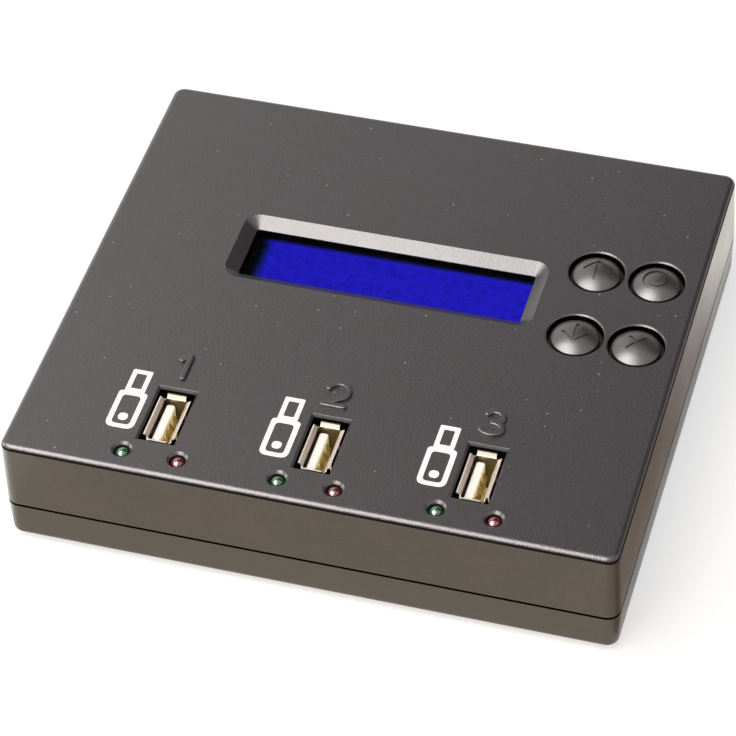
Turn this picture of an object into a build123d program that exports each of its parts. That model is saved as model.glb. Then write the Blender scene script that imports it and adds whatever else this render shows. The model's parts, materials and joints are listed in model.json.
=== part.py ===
import os
from math import acos, atan2, cos, degrees, hypot, radians, sin, tan

from build123d import *

os.makedirs("parts", exist_ok=True)

# Millimetres. +Z up, front towards -Y, origin under the middle of the case on the table.

# Case, measured at the parting line
case_w = 139.0
case_d = 124.0
corner_r = 3.0
inner_corner_r = 1.0
upper_h = 18.25
lower_h = 9.75
upper_draft = 1.5
lower_draft = 1.5
wall = 2.2
top_wall = 2.2
floor_wall = 2.0
top_edge_r = 1.3
bottom_edge_r = 1.2
reveal = 0.6
lip_t = 1.0
lip_h = 1.5
lip_clearance = 0.15

# Rubber feet
foot_d = 10.0
foot_proud = 1.4
foot_recess = 0.6
foot_edge_r = 0.5
foot_clearance = 0.2
foot_inset_x = 25.5
foot_inset_y = 15.0

# Heights of the case
base_z = foot_proud
parting_z = base_z + lower_h
top_z = parting_z + upper_h
ceiling_z = top_z - top_wall
floor_z = base_z + floor_wall
upper_rim_z = parting_z + reveal / 2
lower_rim_z = parting_z - reveal / 2
lip_top_z = parting_z + lip_h


def wall_lean(z):
    """How far the upper wall leans in at a height, from the draft."""
    return (z - parting_z) * tan(radians(upper_draft))


# Top face: what shows, from the front edge to the back
front_y = -case_d / 2
led_inset = 6.0
led_to_socket = 12.0
socket_to_window = 55.8
led_y = front_y + led_inset
slot_y = led_y + led_to_socket
window_y = slot_y + socket_to_window
button_inset = 10.8
button_pitch_x = 13.9
button_pitch_y = 20.8
window_to_buttons = 53.7
button_right_x = case_w / 2 - button_inset
button_left_x = button_right_x - button_pitch_x
button_back_y = window_y + button_pitch_y / 2
button_front_y = window_y - button_pitch_y / 2
window_x = (button_left_x + button_right_x) / 2 - window_to_buttons
edge_bevel = 0.5

# Display window in the top cover
opening_w = 66.6
opening_d = 15.2
opening_r = 0.6
bevel_run = 3.0
bevel_drop = 1.95
lens_t = 1.0
lens_margin = 3.0

# Sockets, type A, standing upright
socket_pitch = 35.3
slot_x = -0.65
socket_count = 3
socket_recess = 0.4
shell_h = 14.2
shell_inner_w = 5.12
shell_inner_l = 12.5
shell_t = 0.3
flare = 0.7
lip_notch = 1.4
slot_gap = 0.6
slot_rim_t = 0.9
slot_pocket = 1.4
shell_shift_x = 0.1
shell_shift_y = -0.4
shell_leg_w = 2.4
shell_leg_l = 3.4
tab_w = 2.2
tab_l = 5.6
tab_cut = 0.4
tab_pitch = 6.2
tab_bulge = 0.8
tab_back_bulge = 0.3
tab_tip_bulge = 0.15
tab_apex = 2.0
tongue_t = 2.0
tongue_w = 11.4
tongue_gap = 0.5
tongue_sink = 1.9
tongue_corner_r = 0.6
tongue_bevel = 0.25
insulator_base_h = 4.0
insulator_clearance = 0.05
contact_w = 1.0
contact_t = 0.3
contact_sink = 0.15
contact_top_gap = 1.0
contact_clearance = 0.03
contact_bump = 0.9
contact_bump_l = 4.0
contact_outer_pitch = 7.0
contact_inner_pitch = 2.0

shell_w = shell_inner_w + 2 * shell_t
shell_l = shell_inner_l + 2 * shell_t
mouth_w = shell_w + 2 * flare
mouth_l = shell_l + 2 * flare
slot_w = mouth_w + 2 * slot_gap
slot_l = mouth_l + 2 * slot_gap
mouth_z = top_z - socket_recess

# Main board, hung under the sockets
board_t = 1.6
board_gap = 1.2
board_notch = 11.0
board_top = mouth_z - shell_h
board_bottom = board_top - board_t
inner_w = case_w - 2 * wall - 2 * wall_lean(board_top)
inner_d = case_d - 2 * wall - 2 * wall_lean(board_top)
board_w = inner_w - 2 * board_gap
board_d = inner_d - 2 * board_gap
tail_l = 1.5
tail_clearance = 0.15

# Screws: core size, so that they clear their holes
screw_play = 0.05
case_screw_d = 2.6
case_screw_head_d = 5.2
case_screw_head_h = 2.0
case_screw_bite = 6.0
case_screw_seat = 4.5
board_screw_d = 2.2
board_screw_head_d = 4.6
board_screw_head_h = 1.6
board_screw_bite = 6.0
lcd_screw_d = 1.8
lcd_screw_head_d = 3.6
lcd_screw_head_h = 1.2
lcd_screw_bite = 4.5
drive_w = 0.6
drive_share = 0.6
clear_hole_gap = 0.4
case_boss_d = 7.0
case_post_d = 8.6
board_boss_d = 6.0
lcd_boss_d = 4.4
boss_skin = 1.0
counterbore_gap = 0.6
boss_end_z = board_bottom
case_boss_inset_x = 9.8
case_boss_inset_y = 9.8
board_boss_inset = 5.0
board_boss_back_y = 37.0
board_boss_front_y = -30.0

# Display module
lcd_board_w = 80.0
lcd_board_d = 36.0
lcd_board_t = 1.6
lcd_hole_inset = 2.5
lcd_lift = 2.0
bezel_w = 71.3
bezel_d = 26.8
bezel_h = 4.95
bezel_t = 0.4
bezel_r = 0.8
bezel_side = 2.55
bezel_end = 5.3
view_r = 0.8
glass_t = 2.2
glass_margin = 0.6
strip_t = 1.8
strip_margin = 2.0
strip_gap = 0.3
header_pin_count = 16
pin_pitch = 2.54
pin_w = 0.64
pin_clearance = 0.03
pin_over = 1.0
header_d = 2.5
header_inset = 2.0
header_shift = -8.0

view_w = bezel_w - 2 * bezel_side
view_d = bezel_d - 2 * bezel_end
lcd_bottom = board_top + lcd_lift
lcd_top = lcd_bottom + lcd_board_t
bezel_top = lcd_top + bezel_h
glass_top = bezel_top - bezel_t
glass_bottom = glass_top - glass_t

# Round lamps
led_d = 3.4
led_flange_d = 4.1
led_flange_h = 1.0
led_body_h = 5.3
led_sink = 0.15
led_gap = 0.15
led_bevel = 0.55
led_pair_pitch = 12.7
led_spacer_d = 4.6
led_spacer_bore = 3.4
lead_w = 0.5
lead_pitch = 1.9
led_top = top_z - led_sink
led_bottom = led_top - led_body_h

# Push buttons: caps on 6 mm key switches
cap_d = 11.0
cap_gap = 0.75
cap_dome = 1.9
cap_sink = 0.75
cap_edge_r = 0.25
cap_flange_over = 0.45
cap_flange_h = 1.0
cap_flange_gap = 0.3
cap_skirt = 2.0
icon_w = 0.6
icon_depth = 0.35
icon_reach = 2.9
ring_w = 1.1
ring_r = 2.65
cross_reach = 1.8
travel = 0.4
cover_gap = 0.06
switch_w = 6.0
switch_h = 3.2
switch_floor = 1.2
switch_cavity_d = 5.2
cover_t = 0.3
plunger_d = 3.5
plunger_flange_d = 4.6
plunger_flange_h = 0.8
plunger_bite = 3.5
running_fit = 0.08
dome_d = 4.6
dome_t = 0.12
dome_rise = 0.33
terminal_w = 0.7
terminal_t = 0.3
terminal_pitch = 4.5
terminal_grip = 1.0

cap_rim_z = top_z - cap_sink
button_hole_d = cap_d + 2 * cap_gap
cap_flange_d = button_hole_d + 2 * cap_flange_over
cap_flange_top = ceiling_z - cap_flange_gap
cap_bottom = cap_flange_top - cap_flange_h - cap_skirt
cover_z = board_top + switch_h
plunger_top = cap_bottom + plunger_bite
dome_ball_r = (cap_d**2 / 4 + cap_dome**2) / (2 * cap_dome)

# Power inlet, 5.5 mm barrel
jack_w = 9.0
jack_l = 14.0
jack_h = 11.0
jack_bore_d = 6.4
jack_bore_l = 9.5
jack_axis_h = 6.5
jack_gap = 0.3
jack_inset = 26.0
jack_pin_d = 2.1
jack_pin_sink = 0.8
jack_hole_d = 8.4
spring_w = 1.6
spring_t = 0.3
spring_sink = 0.6
jack_x = -case_w / 2 + jack_inset
jack_z = board_top + jack_axis_h
jack_mouth_y = case_d / 2 - wall_lean(board_top + jack_h) - wall - jack_gap

# Power slide switch
slider_w = 8.6
slider_d = 4.4
slider_h = 3.8
slider_wall = 0.7
slider_skin = 0.25
slider_inset = 46.0
slider_gap = 0.4
slider_travel = 2.0
slider_play = 0.1
carriage_w = 4.2
knob_w = 2.4
knob_h = 1.8
knob_sink = 0.3
knob_edge_r = 0.3
knob_slot_gap = 0.4
knob_frame_gap = 0.2
finger_w = 13.0
finger_h = 5.4
finger_depth = 1.1
slider_terminal_count = 3
slider_terminal_pitch = 2.5
slider_x = -case_w / 2 + slider_inset
slider_z = board_top + slider_h / 2
slider_face_y = case_d / 2 - wall_lean(top_z) - wall - slider_gap

# Board components
chip_w = 14.0
chip_h = 1.4
memory_w = 12.0
memory_d = 18.0
memory_h = 1.0
chip_spread = 26.0
can_d = 6.3
can_h = 7.7
can_count = 3
can_pitch = 9.0
crystal_w = 11.4
crystal_d = 4.6
crystal_h = 3.5

# Raised numbers behind the sockets
digit_w = 6.2
digit_h = 8.1
digit_stroke = 1.4
digit_rise = 0.75
digit_edge_r = 0.35
bowl_sweep = 245
digit_to_socket = 14.7
digit_shift = -0.75
digit_y = slot_y + digit_to_socket

# Bare label field under the case
label_w = 60.0
label_d = 32.0
label_depth = 0.3


def save(piece, name):
    """Label a finished piece and write it."""
    piece.part.label = name
    export_step(piece.part, f"parts/{name}.step")


def case_outline(inset):
    """Outline of the case, drawn in by an inset, with its inside corners never sharp."""
    return RectangleRounded(case_w - 2 * inset, case_d - 2 * inset, max(corner_r - inset, inner_corner_r))


def mirrored(x, y):
    """The four places at plus and minus x and y."""
    return [(x, y), (-x, y), (-x, -y), (x, -y)]


def row(count, pitch):
    """Offsets of a centred row."""
    return [(i - (count - 1) / 2) * pitch for i in range(count)]


def tail_hole_r(width, thickness):
    """Radius of a board hole that clears a flat tail."""
    return hypot(width, thickness) / 2 + tail_clearance


def number_one():
    """A flag and an upright."""
    reach = digit_h / 2 - digit_stroke / 2
    Polyline((-digit_w / 5, reach - digit_stroke), (digit_w / 12, reach), (digit_w / 12, -reach))


def number_two():
    """A bowl, a diagonal that leaves it as a tangent, and a foot."""
    side = digit_w / 2 - digit_stroke / 2
    reach = digit_h / 2 - digit_stroke / 2
    bowl_y = reach - side
    away = hypot(side, reach + bowl_y)
    leave = degrees(atan2(-reach - bowl_y, -side) + acos(side / away))
    CenterArc((0, bowl_y), side, 165, leave - 165)
    Line((side * cos(radians(leave)), bowl_y + side * sin(radians(leave))), (-side, -reach))
    Line((-side, -reach), (side, -reach))


def number_three():
    """Two bowls, the upper one a little narrower."""
    side = digit_w / 2 - digit_stroke / 2
    reach = digit_h / 2 - digit_stroke / 2
    upper_side = side - digit_stroke / 3
    EllipticalCenterArc((0, reach / 2), upper_side, reach / 2, start_angle=-90, arc_size=bowl_sweep)
    EllipticalCenterArc((0, -reach / 2), side, reach / 2, start_angle=90 - bowl_sweep, arc_size=bowl_sweep)


digit_lines = {1: number_one, 2: number_two, 3: number_three}


def stroked(draw, width):
    """Strokes of one width with round ends."""
    with BuildLine() as strokes:
        draw()
    for stroke in strokes.edges():
        trace(stroke, line_width=width)
    with Locations(*[tuple(end) for end in strokes.vertices()]):
        Circle(width / 2)


def arrow_back():
    """An arrow that points to the back."""
    Line((0, -icon_reach), (0, icon_reach))
    Polyline((-icon_reach, 0), (0, icon_reach), (icon_reach, 0))


def arrow_front():
    """An arrow that points to the front."""
    Line((0, icon_reach), (0, -icon_reach))
    Polyline((-icon_reach, 0), (0, -icon_reach), (icon_reach, 0))


def cross():
    """Four strokes that meet in the middle."""
    for end in mirrored(cross_reach, cross_reach):
        Line((0, 0), end)


def ring():
    """A ring."""
    CenterArc((0, 0), ring_r, 0, 360)


icon_strokes = {
    "up": (arrow_back, icon_w),
    "enter": (ring, ring_w),
    "down": (arrow_front, icon_w),
    "cancel": (cross, icon_w),
}


case_boss_places = mirrored(case_w / 2 - case_boss_inset_x, case_d / 2 - case_boss_inset_y)
foot_places = mirrored(case_w / 2 - foot_inset_x, case_d / 2 - foot_inset_y)
board_boss_x = board_w / 2 - board_boss_inset
board_boss_places = [
    (s * board_boss_x, y) for s in (-1, 1) for y in (board_boss_front_y, board_boss_back_y)
]
lcd_hole_x = lcd_board_w / 2 - lcd_hole_inset
lcd_hole_y = lcd_board_d / 2 - lcd_hole_inset
lcd_boss_places = [(window_x + x, window_y + y) for x, y in mirrored(lcd_hole_x, lcd_hole_y)]
slot_xs = [slot_x + offset for offset in row(socket_count, socket_pitch)]
socket_xs = [x + shell_shift_x for x in slot_xs]
socket_y = slot_y + shell_shift_y
slot_places = [(x, slot_y) for x in slot_xs]
green_led_places = [(x - led_pair_pitch / 2, led_y) for x in slot_xs]
red_led_places = [(x + led_pair_pitch / 2, led_y) for x in slot_xs]
led_places = green_led_places + red_led_places
lead_places = [(x + s * lead_pitch / 2, y) for x, y in led_places for s in (-1, 1)]
button_places = {
    "up": (button_left_x, button_back_y),
    "enter": (button_right_x, button_back_y),
    "down": (button_left_x, button_front_y),
    "cancel": (button_right_x, button_front_y),
}
terminal_places = [
    (x + s * (switch_w + terminal_t) / 2, y + t * terminal_pitch / 2)
    for x, y in button_places.values()
    for s in (-1, 1)
    for t in (-1, 1)
]
header_x = window_x + header_shift
header_y = window_y + lcd_board_d / 2 - header_inset
header_places = [(header_x + offset, header_y) for offset in row(header_pin_count, pin_pitch)]
contact_offsets = [s * p / 2 for p in (contact_outer_pitch, contact_inner_pitch) for s in (-1, 1)]
contact_x = -shell_inner_w / 2 + tongue_gap + tongue_t - contact_sink + contact_t / 2
slider_back_y = slider_face_y - slider_d
slider_terminal_places = [
    (slider_x + offset, slider_back_y - terminal_t / 2)
    for offset in row(slider_terminal_count, slider_terminal_pitch)
]
jack_back_y = jack_mouth_y - jack_l
pin_tail_y = jack_back_y - spring_t / 2
spring_tail_y = jack_mouth_y - jack_bore_l + spring_t / 2 + tail_clearance
spring_z = jack_z - jack_bore_d / 2
jack_tail_places = [(jack_x, pin_tail_y), (jack_x, spring_tail_y)]


def contact_row(x):
    """Places of the four contacts of a socket."""
    return [(x + contact_x, socket_y + offset) for offset in contact_offsets]


def spring_tab(x, side, bulge):
    """Profile of a spring tab that bends from a wall of the shell towards its middle."""
    face = shell_inner_w / 2
    with BuildLine() as outline:
        Polyline(
            (x + side * face, tab_root_z),
            (x + side * (face - bulge), tab_apex_z),
            (x + side * (face - tab_tip_bulge), tab_top_z),
            (x + side * (face - tab_tip_bulge + shell_t), tab_top_z),
            (x + side * (face - bulge + shell_t), tab_apex_z),
            (x + side * (face + shell_t), tab_root_z),
            close=True,
        )
    make_face(outline.edges())


def leg_pair(x):
    """Places of the two legs of a socket's shell."""
    return [(x, socket_y + s * (shell_l - shell_t) / 2) for s in (-1, 1)]


# Top cover: five-sided shell with bosses under the ceiling
with BuildPart() as top_cover:
    with BuildSketch(Plane.XY.offset(upper_rim_z)):
        case_outline(0)
    extrude(amount=top_z - upper_rim_z, taper=upper_draft)
    fillet(faces().sort_by(Axis.Z)[-1].outer_wire().edges(), top_edge_r)
    with BuildSketch(Plane.XY.offset(upper_rim_z)):
        case_outline(wall)
    extrude(amount=ceiling_z - upper_rim_z, taper=upper_draft, mode=Mode.SUBTRACT)
    with BuildSketch(Plane.XY.offset(upper_rim_z)):
        case_outline(wall - lip_t - lip_clearance)
    extrude(amount=lip_top_z - upper_rim_z, mode=Mode.SUBTRACT)

    # Bosses for the case screws, the board screws and the display screws
    with BuildSketch(Plane.XY.offset(boss_end_z)):
        with Locations(*case_boss_places):
            Circle(case_boss_d / 2)
    extrude(amount=ceiling_z - boss_end_z)
    with BuildSketch(Plane.XY.offset(board_top)):
        with Locations(*board_boss_places):
            Circle(board_boss_d / 2)
    extrude(amount=ceiling_z - board_top)
    with BuildSketch(Plane.XY.offset(lcd_top)):
        with Locations(*lcd_boss_places):
            Circle(lcd_boss_d / 2)
    extrude(amount=ceiling_z - lcd_top)
    with BuildSketch(Plane.XY.offset(boss_end_z)):
        with Locations(*case_boss_places):
            Circle(case_screw_d / 2 + screw_play)
    extrude(amount=case_screw_bite + boss_skin, mode=Mode.SUBTRACT)
    with BuildSketch(Plane.XY.offset(board_top)):
        with Locations(*board_boss_places):
            Circle(board_screw_d / 2 + screw_play)
    extrude(amount=board_screw_bite + boss_skin, mode=Mode.SUBTRACT)
    with BuildSketch(Plane.XY.offset(lcd_top)):
        with Locations(*lcd_boss_places):
            Circle(lcd_screw_d / 2 + screw_play)
    extrude(amount=lcd_screw_bite + boss_skin, mode=Mode.SUBTRACT)

    # Display window with its wide bevel
    with BuildSketch(Plane.XY.offset(top_z)):
        with Locations((window_x, window_y)):
            RectangleRounded(opening_w + 2 * bevel_run, opening_d + 2 * bevel_run, opening_r + bevel_run)
    with BuildSketch(Plane.XY.offset(top_z - bevel_drop)):
        with Locations((window_x, window_y)):
            RectangleRounded(opening_w, opening_d, opening_r)
    loft(mode=Mode.SUBTRACT)
    with BuildSketch(Plane.XY.offset(ceiling_z)):
        with Locations((window_x, window_y)):
            RectangleRounded(opening_w, opening_d, opening_r)
    extrude(amount=top_wall, mode=Mode.SUBTRACT)

    # Socket slots, button holes and lamp holes, each with a bevelled rim
    with BuildSketch(Plane.XY.offset(ceiling_z)):
        with Locations(*slot_places):
            Rectangle(slot_w, slot_l)
        with Locations(*button_places.values()):
            Circle(button_hole_d / 2)
        with Locations(*led_places):
            Circle(led_d / 2 + led_gap)
    extrude(amount=top_wall, mode=Mode.SUBTRACT)
    with BuildSketch(Plane.XY.offset(top_z)):
        with Locations(*slot_places):
            Rectangle(slot_w + 2 * edge_bevel, slot_l + 2 * edge_bevel)
        with Locations(*button_places.values()):
            Circle(button_hole_d / 2 + edge_bevel)
    extrude(amount=edge_bevel, dir=(0, 0, -1), taper=45, mode=Mode.SUBTRACT)
    with BuildSketch(Plane.XY.offset(top_z)):
        with Locations(*led_places):
            Circle(led_d / 2 + led_gap + led_bevel)
    extrude(amount=led_bevel, dir=(0, 0, -1), taper=45, mode=Mode.SUBTRACT)

    # Pockets that thin the top around the slots
    with BuildSketch(Plane.XY.offset(ceiling_z)):
        with Locations(*slot_places):
            RectangleRounded(slot_w + 2 * slot_pocket, slot_l + 2 * slot_pocket, inner_corner_r)
    extrude(amount=top_wall - slot_rim_t, mode=Mode.SUBTRACT)

    # Back wall: hole for the power plug, slot and finger recess for the power switch
    with BuildSketch(Plane.XZ.offset(-case_d / 2)):
        with Locations((jack_x, jack_z)):
            Circle(jack_hole_d / 2)
        with Locations((slider_x, slider_z)):
            Rectangle(
                knob_w + slider_travel + 2 * knob_slot_gap,
                knob_h + 2 * knob_slot_gap,
            )
    extrude(amount=wall + wall_lean(top_z) + slider_gap / 2, mode=Mode.SUBTRACT)
    with BuildSketch(Plane.XZ.offset(-case_d / 2)):
        with Locations((slider_x, slider_z)):
            RectangleRounded(finger_w, finger_h, finger_h / 2 - edge_bevel)
    extrude(amount=finger_depth + wall_lean(slider_z), mode=Mode.SUBTRACT)

    # Raised numbers 1, 2 and 3
    for number, x in enumerate(slot_xs, 1):
        with BuildSketch(Plane((x + digit_shift, digit_y, top_z))):
            stroked(digit_lines[number], digit_stroke)
        extrude(amount=digit_rise)
    fillet(edges().group_by(Axis.Z)[-1], digit_edge_r)
save(top_cover, "top_cover")

# Bottom cover: tray with screw posts and a lip that enters the top cover
with BuildPart() as bottom_cover:
    with BuildSketch(Plane.XY.offset(lower_rim_z)):
        case_outline(0)
    extrude(amount=lower_rim_z - base_z, dir=(0, 0, -1), taper=lower_draft)
    fillet(faces().sort_by(Axis.Z)[0].outer_wire().edges(), bottom_edge_r)
    with BuildSketch(Plane.XY.offset(lower_rim_z)):
        case_outline(wall)
    extrude(amount=lower_rim_z - floor_z, dir=(0, 0, -1), taper=lower_draft, mode=Mode.SUBTRACT)
    with BuildSketch(Plane.XY.offset(lower_rim_z)):
        case_outline(wall - lip_t)
        with BuildSketch(mode=Mode.PRIVATE) as lip_bore:
            case_outline(wall)
        add(lip_bore.sketch, mode=Mode.SUBTRACT)
    extrude(amount=lip_top_z - lower_rim_z)
    with BuildSketch(Plane.XY.offset(floor_z)):
        with Locations(*case_boss_places):
            Circle(case_post_d / 2)
    extrude(amount=boss_end_z - floor_z)
    with BuildSketch(Plane.XY.offset(base_z)):
        with Locations(*case_boss_places):
            Circle((case_screw_d + clear_hole_gap) / 2)
    extrude(amount=boss_end_z - base_z, mode=Mode.SUBTRACT)
    with BuildSketch(Plane.XY.offset(base_z)):
        with Locations(*case_boss_places):
            Circle((case_screw_head_d + counterbore_gap) / 2)
    extrude(amount=case_screw_seat, mode=Mode.SUBTRACT)
    with BuildSketch(Plane.XY.offset(base_z)):
        with Locations(*foot_places):
            Circle((foot_d + foot_clearance) / 2)
    extrude(amount=foot_recess, mode=Mode.SUBTRACT)
    with BuildSketch(Plane.XY.offset(base_z)):
        RectangleRounded(label_w, label_d, edge_bevel)
    extrude(amount=label_depth, mode=Mode.SUBTRACT)
save(bottom_cover, "bottom_cover")


# Screws: pan heads below, shanks upwards, with a cross recess
def screws(name, places, seat_z, tip_z, shank_d, head_d, head_h):
    """A group of equal screws standing at places."""
    with BuildPart() as group:
        with BuildSketch(Plane.XY.offset(seat_z - head_h)):
            with Locations(*places):
                Circle(head_d / 2)
        extrude(amount=head_h)
        fillet(edges().group_by(Axis.Z)[0], head_h / 4)
        with BuildSketch(Plane.XY.offset(seat_z)):
            with Locations(*places):
                Circle(shank_d / 2)
        extrude(amount=tip_z - seat_z)
        chamfer(edges().group_by(Axis.Z)[-1], shank_d / 6)
        with BuildSketch(Plane.XY.offset(seat_z - head_h)):
            with Locations(*places):
                Rectangle(drive_share * head_d, drive_w)
                Rectangle(drive_w, drive_share * head_d)
        extrude(amount=head_h / 2, mode=Mode.SUBTRACT)
    save(group, name)


screws(
    "case_screws",
    case_boss_places,
    base_z + case_screw_seat,
    boss_end_z + case_screw_bite,
    case_screw_d,
    case_screw_head_d,
    case_screw_head_h,
)
screws(
    "board_screws",
    board_boss_places,
    board_bottom,
    board_top + board_screw_bite,
    board_screw_d,
    board_screw_head_d,
    board_screw_head_h,
)
screws(
    "lcd_screws",
    lcd_boss_places,
    lcd_bottom,
    lcd_top + lcd_screw_bite,
    lcd_screw_d,
    lcd_screw_head_d,
    lcd_screw_head_h,
)

# Rubber feet
for number, place in enumerate(foot_places, 1):
    with BuildPart() as foot:
        with BuildSketch():
            with Locations(place):
                Circle(foot_d / 2)
        extrude(amount=base_z + foot_recess)
        fillet(edges().group_by(Axis.Z)[0], foot_edge_r)
    save(foot, f"foot_{number}")

# Clear window plate, bonded under the opening
with BuildPart() as display_window:
    with BuildSketch(Plane.XY.offset(ceiling_z - lens_t)):
        with Locations((window_x, window_y)):
            RectangleRounded(opening_w + 2 * lens_margin, opening_d + 2 * lens_margin, lens_margin / 2)
    extrude(amount=lens_t)
save(display_window, "display_window")

# Main board with notched corners and its holes
with BuildPart() as main_board:
    with BuildSketch(Plane.XY.offset(board_bottom)):
        Rectangle(board_w, board_d)
        with Locations(*mirrored(board_w / 2, board_d / 2)):
            Rectangle(2 * board_notch, 2 * board_notch, mode=Mode.SUBTRACT)
        with Locations(*board_boss_places):
            Circle((board_screw_d + clear_hole_gap) / 2, mode=Mode.SUBTRACT)
        with Locations(*lead_places):
            Circle(tail_hole_r(lead_w, lead_w), mode=Mode.SUBTRACT)
        with Locations(*header_places):
            Circle(tail_hole_r(pin_w, pin_w), mode=Mode.SUBTRACT)
        with Locations(*terminal_places):
            Circle(tail_hole_r(terminal_w, terminal_t), mode=Mode.SUBTRACT)
        with Locations(*slider_terminal_places):
            Circle(tail_hole_r(terminal_w, terminal_t), mode=Mode.SUBTRACT)
        for x in socket_xs:
            with Locations(*contact_row(x)):
                Rectangle(contact_t + 2 * tail_clearance, contact_w + 2 * tail_clearance, mode=Mode.SUBTRACT)
            with Locations(*leg_pair(x)):
                Rectangle(shell_leg_w + 2 * tail_clearance, shell_t + 2 * tail_clearance, mode=Mode.SUBTRACT)
        with Locations(*jack_tail_places):
            Rectangle(spring_w + 2 * tail_clearance, spring_t + 2 * tail_clearance, mode=Mode.SUBTRACT)
    extrude(amount=board_t)
save(main_board, "main_board")

# Display module: its board, metal bezel, glass, backlight and contact strips
with BuildPart() as lcd_board:
    with BuildSketch(Plane.XY.offset(lcd_bottom)):
        with Locations((window_x, window_y)):
            Rectangle(lcd_board_w, lcd_board_d)
        with Locations(*lcd_boss_places):
            Circle((lcd_screw_d + clear_hole_gap) / 2, mode=Mode.SUBTRACT)
        with Locations(*header_places):
            Circle(tail_hole_r(pin_w, pin_w), mode=Mode.SUBTRACT)
    extrude(amount=lcd_board_t)
save(lcd_board, "lcd_board")

with BuildPart() as lcd_bezel:
    with BuildSketch(Plane.XY.offset(lcd_top)):
        with Locations((window_x, window_y)):
            RectangleRounded(bezel_w, bezel_d, bezel_r)
    extrude(amount=bezel_h)
    fillet(edges().group_by(Axis.Z)[-1], bezel_t)
    with BuildSketch(Plane.XY.offset(lcd_top)):
        with Locations((window_x, window_y)):
            RectangleRounded(bezel_w - 2 * bezel_t, bezel_d - 2 * bezel_t, bezel_r - bezel_t)
    extrude(amount=bezel_h - bezel_t, mode=Mode.SUBTRACT)
    with BuildSketch(Plane.XY.offset(lcd_top)):
        with Locations((window_x, window_y)):
            RectangleRounded(view_w, view_d, view_r)
    extrude(amount=bezel_h, mode=Mode.SUBTRACT)
save(lcd_bezel, "lcd_bezel")

glass_w = bezel_w - 2 * bezel_t - 2 * glass_margin
glass_d = bezel_d - 2 * bezel_t - 2 * glass_margin
with BuildPart() as lcd_glass:
    with BuildSketch(Plane.XY.offset(glass_bottom)):
        with Locations((window_x, window_y)):
            Rectangle(glass_w, glass_d)
    extrude(amount=glass_t)
save(lcd_glass, "lcd_glass")

strip_y = (glass_d - strip_t) / 2
with BuildPart() as lcd_contact_strips:
    with BuildSketch(Plane.XY.offset(lcd_top)):
        with Locations((window_x, window_y + strip_y), (window_x, window_y - strip_y)):
            Rectangle(glass_w - 2 * strip_margin, strip_t)
    extrude(amount=glass_bottom - lcd_top)
save(lcd_contact_strips, "lcd_contact_strips")

with BuildPart() as lcd_backlight:
    with BuildSketch(Plane.XY.offset(lcd_top)):
        with Locations((window_x, window_y)):
            Rectangle(glass_w, glass_d - 2 * strip_t - 2 * strip_gap)
    extrude(amount=glass_bottom - lcd_top)
save(lcd_backlight, "lcd_backlight")

# Header between the display board and the main board
with BuildPart() as lcd_header_strip:
    with BuildSketch(Plane.XY.offset(board_top)):
        with Locations((header_x, header_y)):
            Rectangle(header_pin_count * pin_pitch, header_d)
        with Locations(*header_places):
            Rectangle(pin_w + 2 * pin_clearance, pin_w + 2 * pin_clearance, mode=Mode.SUBTRACT)
    extrude(amount=lcd_lift)
save(lcd_header_strip, "lcd_header_strip")

with BuildPart() as lcd_header_pins:
    with BuildSketch(Plane.XY.offset(board_bottom - tail_l)):
        with Locations(*header_places):
            Rectangle(pin_w, pin_w)
    extrude(amount=lcd_top + pin_over - board_bottom + tail_l)
save(lcd_header_pins, "lcd_header_pins")

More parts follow.
